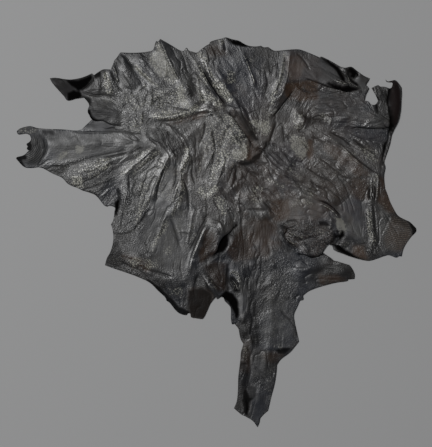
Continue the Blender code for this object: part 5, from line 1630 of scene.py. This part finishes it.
class HideLooks(bpy.types.PropertyGroup):
    """Colours and finish of the leather and of the floor."""

    black: colour("Black", "Grain side, warm black", (0.0142, 0.0128, 0.0116))
    blue_black: colour("Blue Black", "Grain side, cool black", (0.0104, 0.0134, 0.0222))
    brown: colour("Brown", "Where the dye is thin", (0.0620, 0.0310, 0.0135))
    # Pale grey of worn pebble tops, and of the painted highlights along crests and crest lines.
    worn_and_highlight_grey: colour("Worn", "Polished pebble tops", (0.3300, 0.3220, 0.2760))
    # Painted sheen: the lighter grey that stands in for more light on the skin.
    painted_sheen_grey: colour("Faded", "Where the dye has faded", (0.0238, 0.0228, 0.0202))
    smooth_grey: colour("Smooth", "Where the skin has no grain", (0.0280, 0.0284, 0.0320))
    # Painted shade: the near black of creases, hollows, pebble gaps and places no light reaches.
    painted_shade_black: colour("Crevice", "Bottom of the creases", (0.0022, 0.0020, 0.0020))
    turned_side: colour("Turned", "Smooth dark side", (0.0090, 0.0056, 0.0054))
    flesh: colour("Flesh", "Fibrous underside", (0.0420, 0.0340, 0.0280))
    cut_grey: colour("Cut", "Fibres of the cut edge", (0.0500, 0.0460, 0.0420))
    floor: colour("Floor", "Plain pale floor", (0.36, 0.36, 0.36))
    roughness: amount("Roughness", "Of the grain side", 0.38, 1)
    shine: amount("Shine", "Strength of the leather's gloss", 0.66, 1)
    pebble: length("Pebble", "Size of the grain's pebbles", 0.0058, 0.0005)
    pebble_depth: length("Pebble Depth", "Height of the grain's pebbles", 0.0005)
    wrinkle: length("Wrinkle", "Pitch of the finest wrinkles", 0.0085, 0.001)
    wrinkle_depth: length("Wrinkle Depth", "Depth of the finest wrinkles", 0.0009)
    lump_depth: length("Lump Depth", "Depth of the uneven surface", 0.0009)
    pinch_depth: length("Pinch Depth", "Depth of the thin lines", 0.0012)
    # Painted shade: the dark line along creases and under laps.
    seam: amount("Seam", "Half width of a crease's dark line, in its widths", 0.65)
    # Painted highlight: the pale line along a crest.
    glint: amount("Glint", "Half width of a crest's pale line, in its widths", 0.6)
    vein: amount("Vein", "Half width of the finest creases, in grid squares", 0.7)


class HideStage(bpy.types.PropertyGroup):
    """Camera and light."""

    camera_height: length("Camera Height", "Camera above the surface", 3.2, 0.5)
    view_length: length("View Length", "Longer side of the view on the surface", 1.1178, 0.1)
    view_middle: place("View Middle", "Middle of the view on the surface", (-0.0006, 0.0219, 0.0))
    key: FloatProperty(name="Key", description="Power of the key light", default=620.0, min=0,
                       unit="POWER")
    key_size: length("Key Size", "Side of the key light", 3.8, 0.1)
    key_place: place("Key Place", "Middle of the key light", (-3.7, 2.5, 8.0))
    key_aim: place("Key Aim", "Point that the key light faces", (0.05, -0.05, 0.0))
    fill: amount("Fill", "Strength of the sky light", 0.12)


# ---------------------------------------------------------------- the skin

def flat_skin(cell):
    """The cut skin, flat, as a mesh of small square cells inside its outline."""
    first_cut, same_place, smallest = 0.6, 0.02, 0.25
    mesh = bmesh.new()
    loop = cut_edge(cell / STEP)
    corners = [mesh.verts.new((*on_surface(x, y), 0)) for x, y in loop]
    mesh.faces.new(reversed(corners))
    for axis in (0, 1):
        across = [corner.co[axis] for corner in corners]
        cut = min(across) + cell * first_cut
        while cut < max(across):
            middle, normal = Vector((0, 0, 0)), Vector((0, 0, 0))
            middle[axis], normal[axis] = cut, 1
            bmesh.ops.bisect_plane(mesh, geom=mesh.verts[:] + mesh.edges[:] + mesh.faces[:],
                                   dist=cell * same_place, plane_co=middle, plane_no=normal)
            cut += cell
    bmesh.ops.dissolve_degenerate(mesh, dist=cell * smallest, edges=mesh.edges[:])
    bmesh.ops.recalc_face_normals(mesh, faces=mesh.faces[:])
    if sum(face.normal.z for face in mesh.faces) < 0:
        bmesh.ops.reverse_faces(mesh, faces=mesh.faces[:])
    return mesh


def skin_fields(relief):
    """What the finish needs to know at each place: tones, thin lines, rings and ways of the pull."""
    chart = relief.chart
    fields = {name: tone_field(chart, name) for name in TONES}
    drawn = (0.35 + 0.65 * fields.pop("wrinkled")) * (1 - 0.6 * fields["calm"])
    fields["grain"] = (0.35 + 0.65 * fields.pop("pebbled")) * (1 - 0.9 * fields["calm"])
    curve = relief.height - spread(relief.height, CURVE_ROUNDS)
    # Painted shade: the hollows of the relief are darkened in the finish.
    fields["hollow"] = steps(0.0010, 0.0050, -curve)
    # Painted highlight: the crests of the relief are paled in the finish.
    fields["crest"] = steps(0.0008, 0.0045, curve)
    for number, rings in enumerate(map(Rings._make, RINGS)):
        apart = np.hypot((chart.x - rings.x) / rings.reach_x, (chart.y - rings.y) / rings.reach_y)
        fields[f"rings_{number}"] = steps(1.15, 0.7, apart)
    fields["seam"], fields["painted_crease_shade_strength"] = relief.seam_off, relief.painted_crease_shade_strength
    fields["glint"], fields["glint_light"] = relief.glint_off, relief.glint_light
    fields["vein"], fields["vein_dark"] = relief.vein_off, relief.vein_dark
    for number, share in enumerate(chart.way_shares()):
        fields[f"way_{number}"] = share * drawn
    return fields


def lay_on(mesh, relief, leather):
    """Lay a flat mesh on the relief, in the middle of its solid; gives its length and width."""
    chart = relief.chart
    co = np.empty(len(mesh.vertices) * 3)
    mesh.vertices.foreach_get("co", co)
    co = co.reshape(-1, 3)
    x = co[:, 0] / STEP + GRID_MIDDLE[0]
    y = GRID_MIDDLE[1] - co[:, 1] / STEP
    for name, field in skin_fields(relief).items():
        layer = mesh.attributes.new(name, "FLOAT", "POINT")
        layer.data.foreach_set("value", chart.sample(field, x, y).astype(np.float32))
    co[:, 0] += chart.sample(relief.lean_x, x, y) * STEP
    co[:, 1] -= chart.sample(relief.lean_y, x, y) * STEP
    co[:, 2] = chart.sample(relief.height, x, y)
    middle = (co.min(axis=0) + co.max(axis=0)) / 2
    cad_middle = (SOLID_BOX[0] + SOLID_BOX[1]) / 2
    co[:, :2] += np.array(cad_middle[:2]) - middle[:2]
    mesh.vertices.foreach_set("co", co.ravel())
    mesh.update()
    leaning = np.empty(co.size)
    mesh.vertices.foreach_get("normal", leaning)
    sunk = -(co[:, 2] + leather * leaning.reshape(-1, 3)[:, 2])
    co[:, 2] += np.maximum(sunk, 0)
    mesh.vertices.foreach_set("co", co.ravel())
    mesh.update()
    mesh.shade_smooth()
    return [float(side) for side in np.ptp(co, axis=0)[:2]]


class HIDE_OT_lay_skin(bpy.types.Operator):
    """Lay the skin on its folds as a thin sheet of leather"""

    bl_idname = "hide.lay_skin"
    bl_label = "Lay the Skin"

    def execute(self, context):
        sizes = context.scene.hide_sizes
        cut = flat_skin(sizes.cell)
        flat_area = sum(face.calc_area() for face in cut.faces)
        mesh = bpy.data.meshes.new("leather_skin")
        cut.to_mesh(mesh)
        cut.free()
        size = lay_on(mesh, Relief(sizes), sizes.leather)
        skin = bpy.data.objects.new("leather_skin", mesh)
        context.scene.collection.objects.link(skin)
        thick = skin.modifiers.new("leather", "SOLIDIFY")
        thick.thickness = sizes.leather
        thick.offset = 1.0
        thick.material_offset = 1
        thick.material_offset_rim = 2
        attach(skin, "root")
        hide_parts(SOLID)
        return {"FINISHED"}


class HIDE_OT_finish_leather(bpy.types.Operator):
    """Give the skin its grain side, flesh side and cut edge"""

    bl_idname = "hide.finish_leather"
    bl_label = "Finish the Leather"

    def execute(self, context):
        looks = context.scene.hide_looks
        grain = pebbled_grain()
        skin = bpy.data.objects["leather_skin"]
        skin.data.materials.clear()
        for make in (grain_side, flesh_side, cut_side):
            skin.data.materials.append(make(looks, grain))
        return {"FINISHED"}


class HIDE_OT_set_stage(bpy.types.Operator):
    """Set the pale floor, the soft light and the camera straight above"""

    bl_idname = "hide.set_stage"
    bl_label = "Set the Stage"

    def execute(self, context):
        scene, stage = context.scene, context.scene.hide_stage
        sheet = bmesh.new()
        bmesh.ops.create_grid(sheet, x_segments=1, y_segments=1, size=12.0)
        bmesh.ops.translate(sheet, verts=sheet.verts[:], vec=(0, 0, -0.0003))
        mesh = bpy.data.meshes.new("floor")
        sheet.to_mesh(mesh)
        sheet.free()
        mesh.materials.append(floor_finish(scene.hide_looks))
        floor = bpy.data.objects.new("floor", mesh)
        scene.collection.objects.link(floor)

        world = bpy.data.worlds.new("studio")
        scene.world = world
        world.use_nodes = True
        backdrop = world.node_tree.nodes["Background"]
        backdrop.inputs["Color"].default_value = (0.93, 0.96, 1.0, 1)
        backdrop.inputs["Strength"].default_value = stage.fill

        key = bpy.data.lights.new("key", "AREA")
        key.shape = "SQUARE"
        key.size = stage.key_size
        key.energy = stage.key
        lamp = bpy.data.objects.new("key", key)
        scene.collection.objects.link(lamp)
        lamp.location = stage.key_place
        lamp.rotation_euler = (Vector(stage.key_aim) - lamp.location).to_track_quat("-Z", "Y").to_euler()

        lens = bpy.data.cameras.new("camera")
        lens.sensor_width = 36.0
        lens.lens = 36.0 * stage.camera_height / stage.view_length
        camera = bpy.data.objects.new("camera", lens)
        scene.collection.objects.link(camera)
        camera.location = Vector(stage.view_middle) + Vector((0, 0, stage.camera_height))
        scene.camera = camera
        scene.view_settings.view_transform = "Standard"
        return {"FINISHED"}


class HIDE_PT_panel(bpy.types.Panel):
    """Steps and settings of the hide"""

    bl_idname = "HIDE_PT_panel"
    bl_label = "Leather Hide"
    bl_space_type = "VIEW_3D"
    bl_region_type = "UI"
    bl_category = "Hide"

    def draw(self, context):
        for step in STEPS:
            self.layout.operator(step.bl_idname)
        for group in (context.scene.hide_sizes, context.scene.hide_looks, context.scene.hide_stage):
            box = self.layout.box()
            for name in group.bl_rna.properties.keys():
                if name not in ("rna_type", "name"):
                    box.prop(group, name)


# ---------------------------------------------------------------- registration

STEPS = (HIDE_OT_lay_skin, HIDE_OT_finish_leather, HIDE_OT_set_stage)
CLASSES = (HideSizes, HideLooks, HideStage, *STEPS, HIDE_PT_panel)


def register():
    for cls in CLASSES:
        bpy.utils.register_class(cls)
    bpy.types.Scene.hide_sizes = PointerProperty(type=HideSizes)
    bpy.types.Scene.hide_looks = PointerProperty(type=HideLooks)
    bpy.types.Scene.hide_stage = PointerProperty(type=HideStage)


def unregister():
    del bpy.types.Scene.hide_stage
    del bpy.types.Scene.hide_looks
    del bpy.types.Scene.hide_sizes
    for cls in reversed(CLASSES):
        bpy.utils.unregister_class(cls)


def main():
    register()
    bpy.ops.hide.lay_skin()
    bpy.ops.hide.finish_leather()
    bpy.ops.hide.set_stage()


if __name__ == "__main__":
    main()
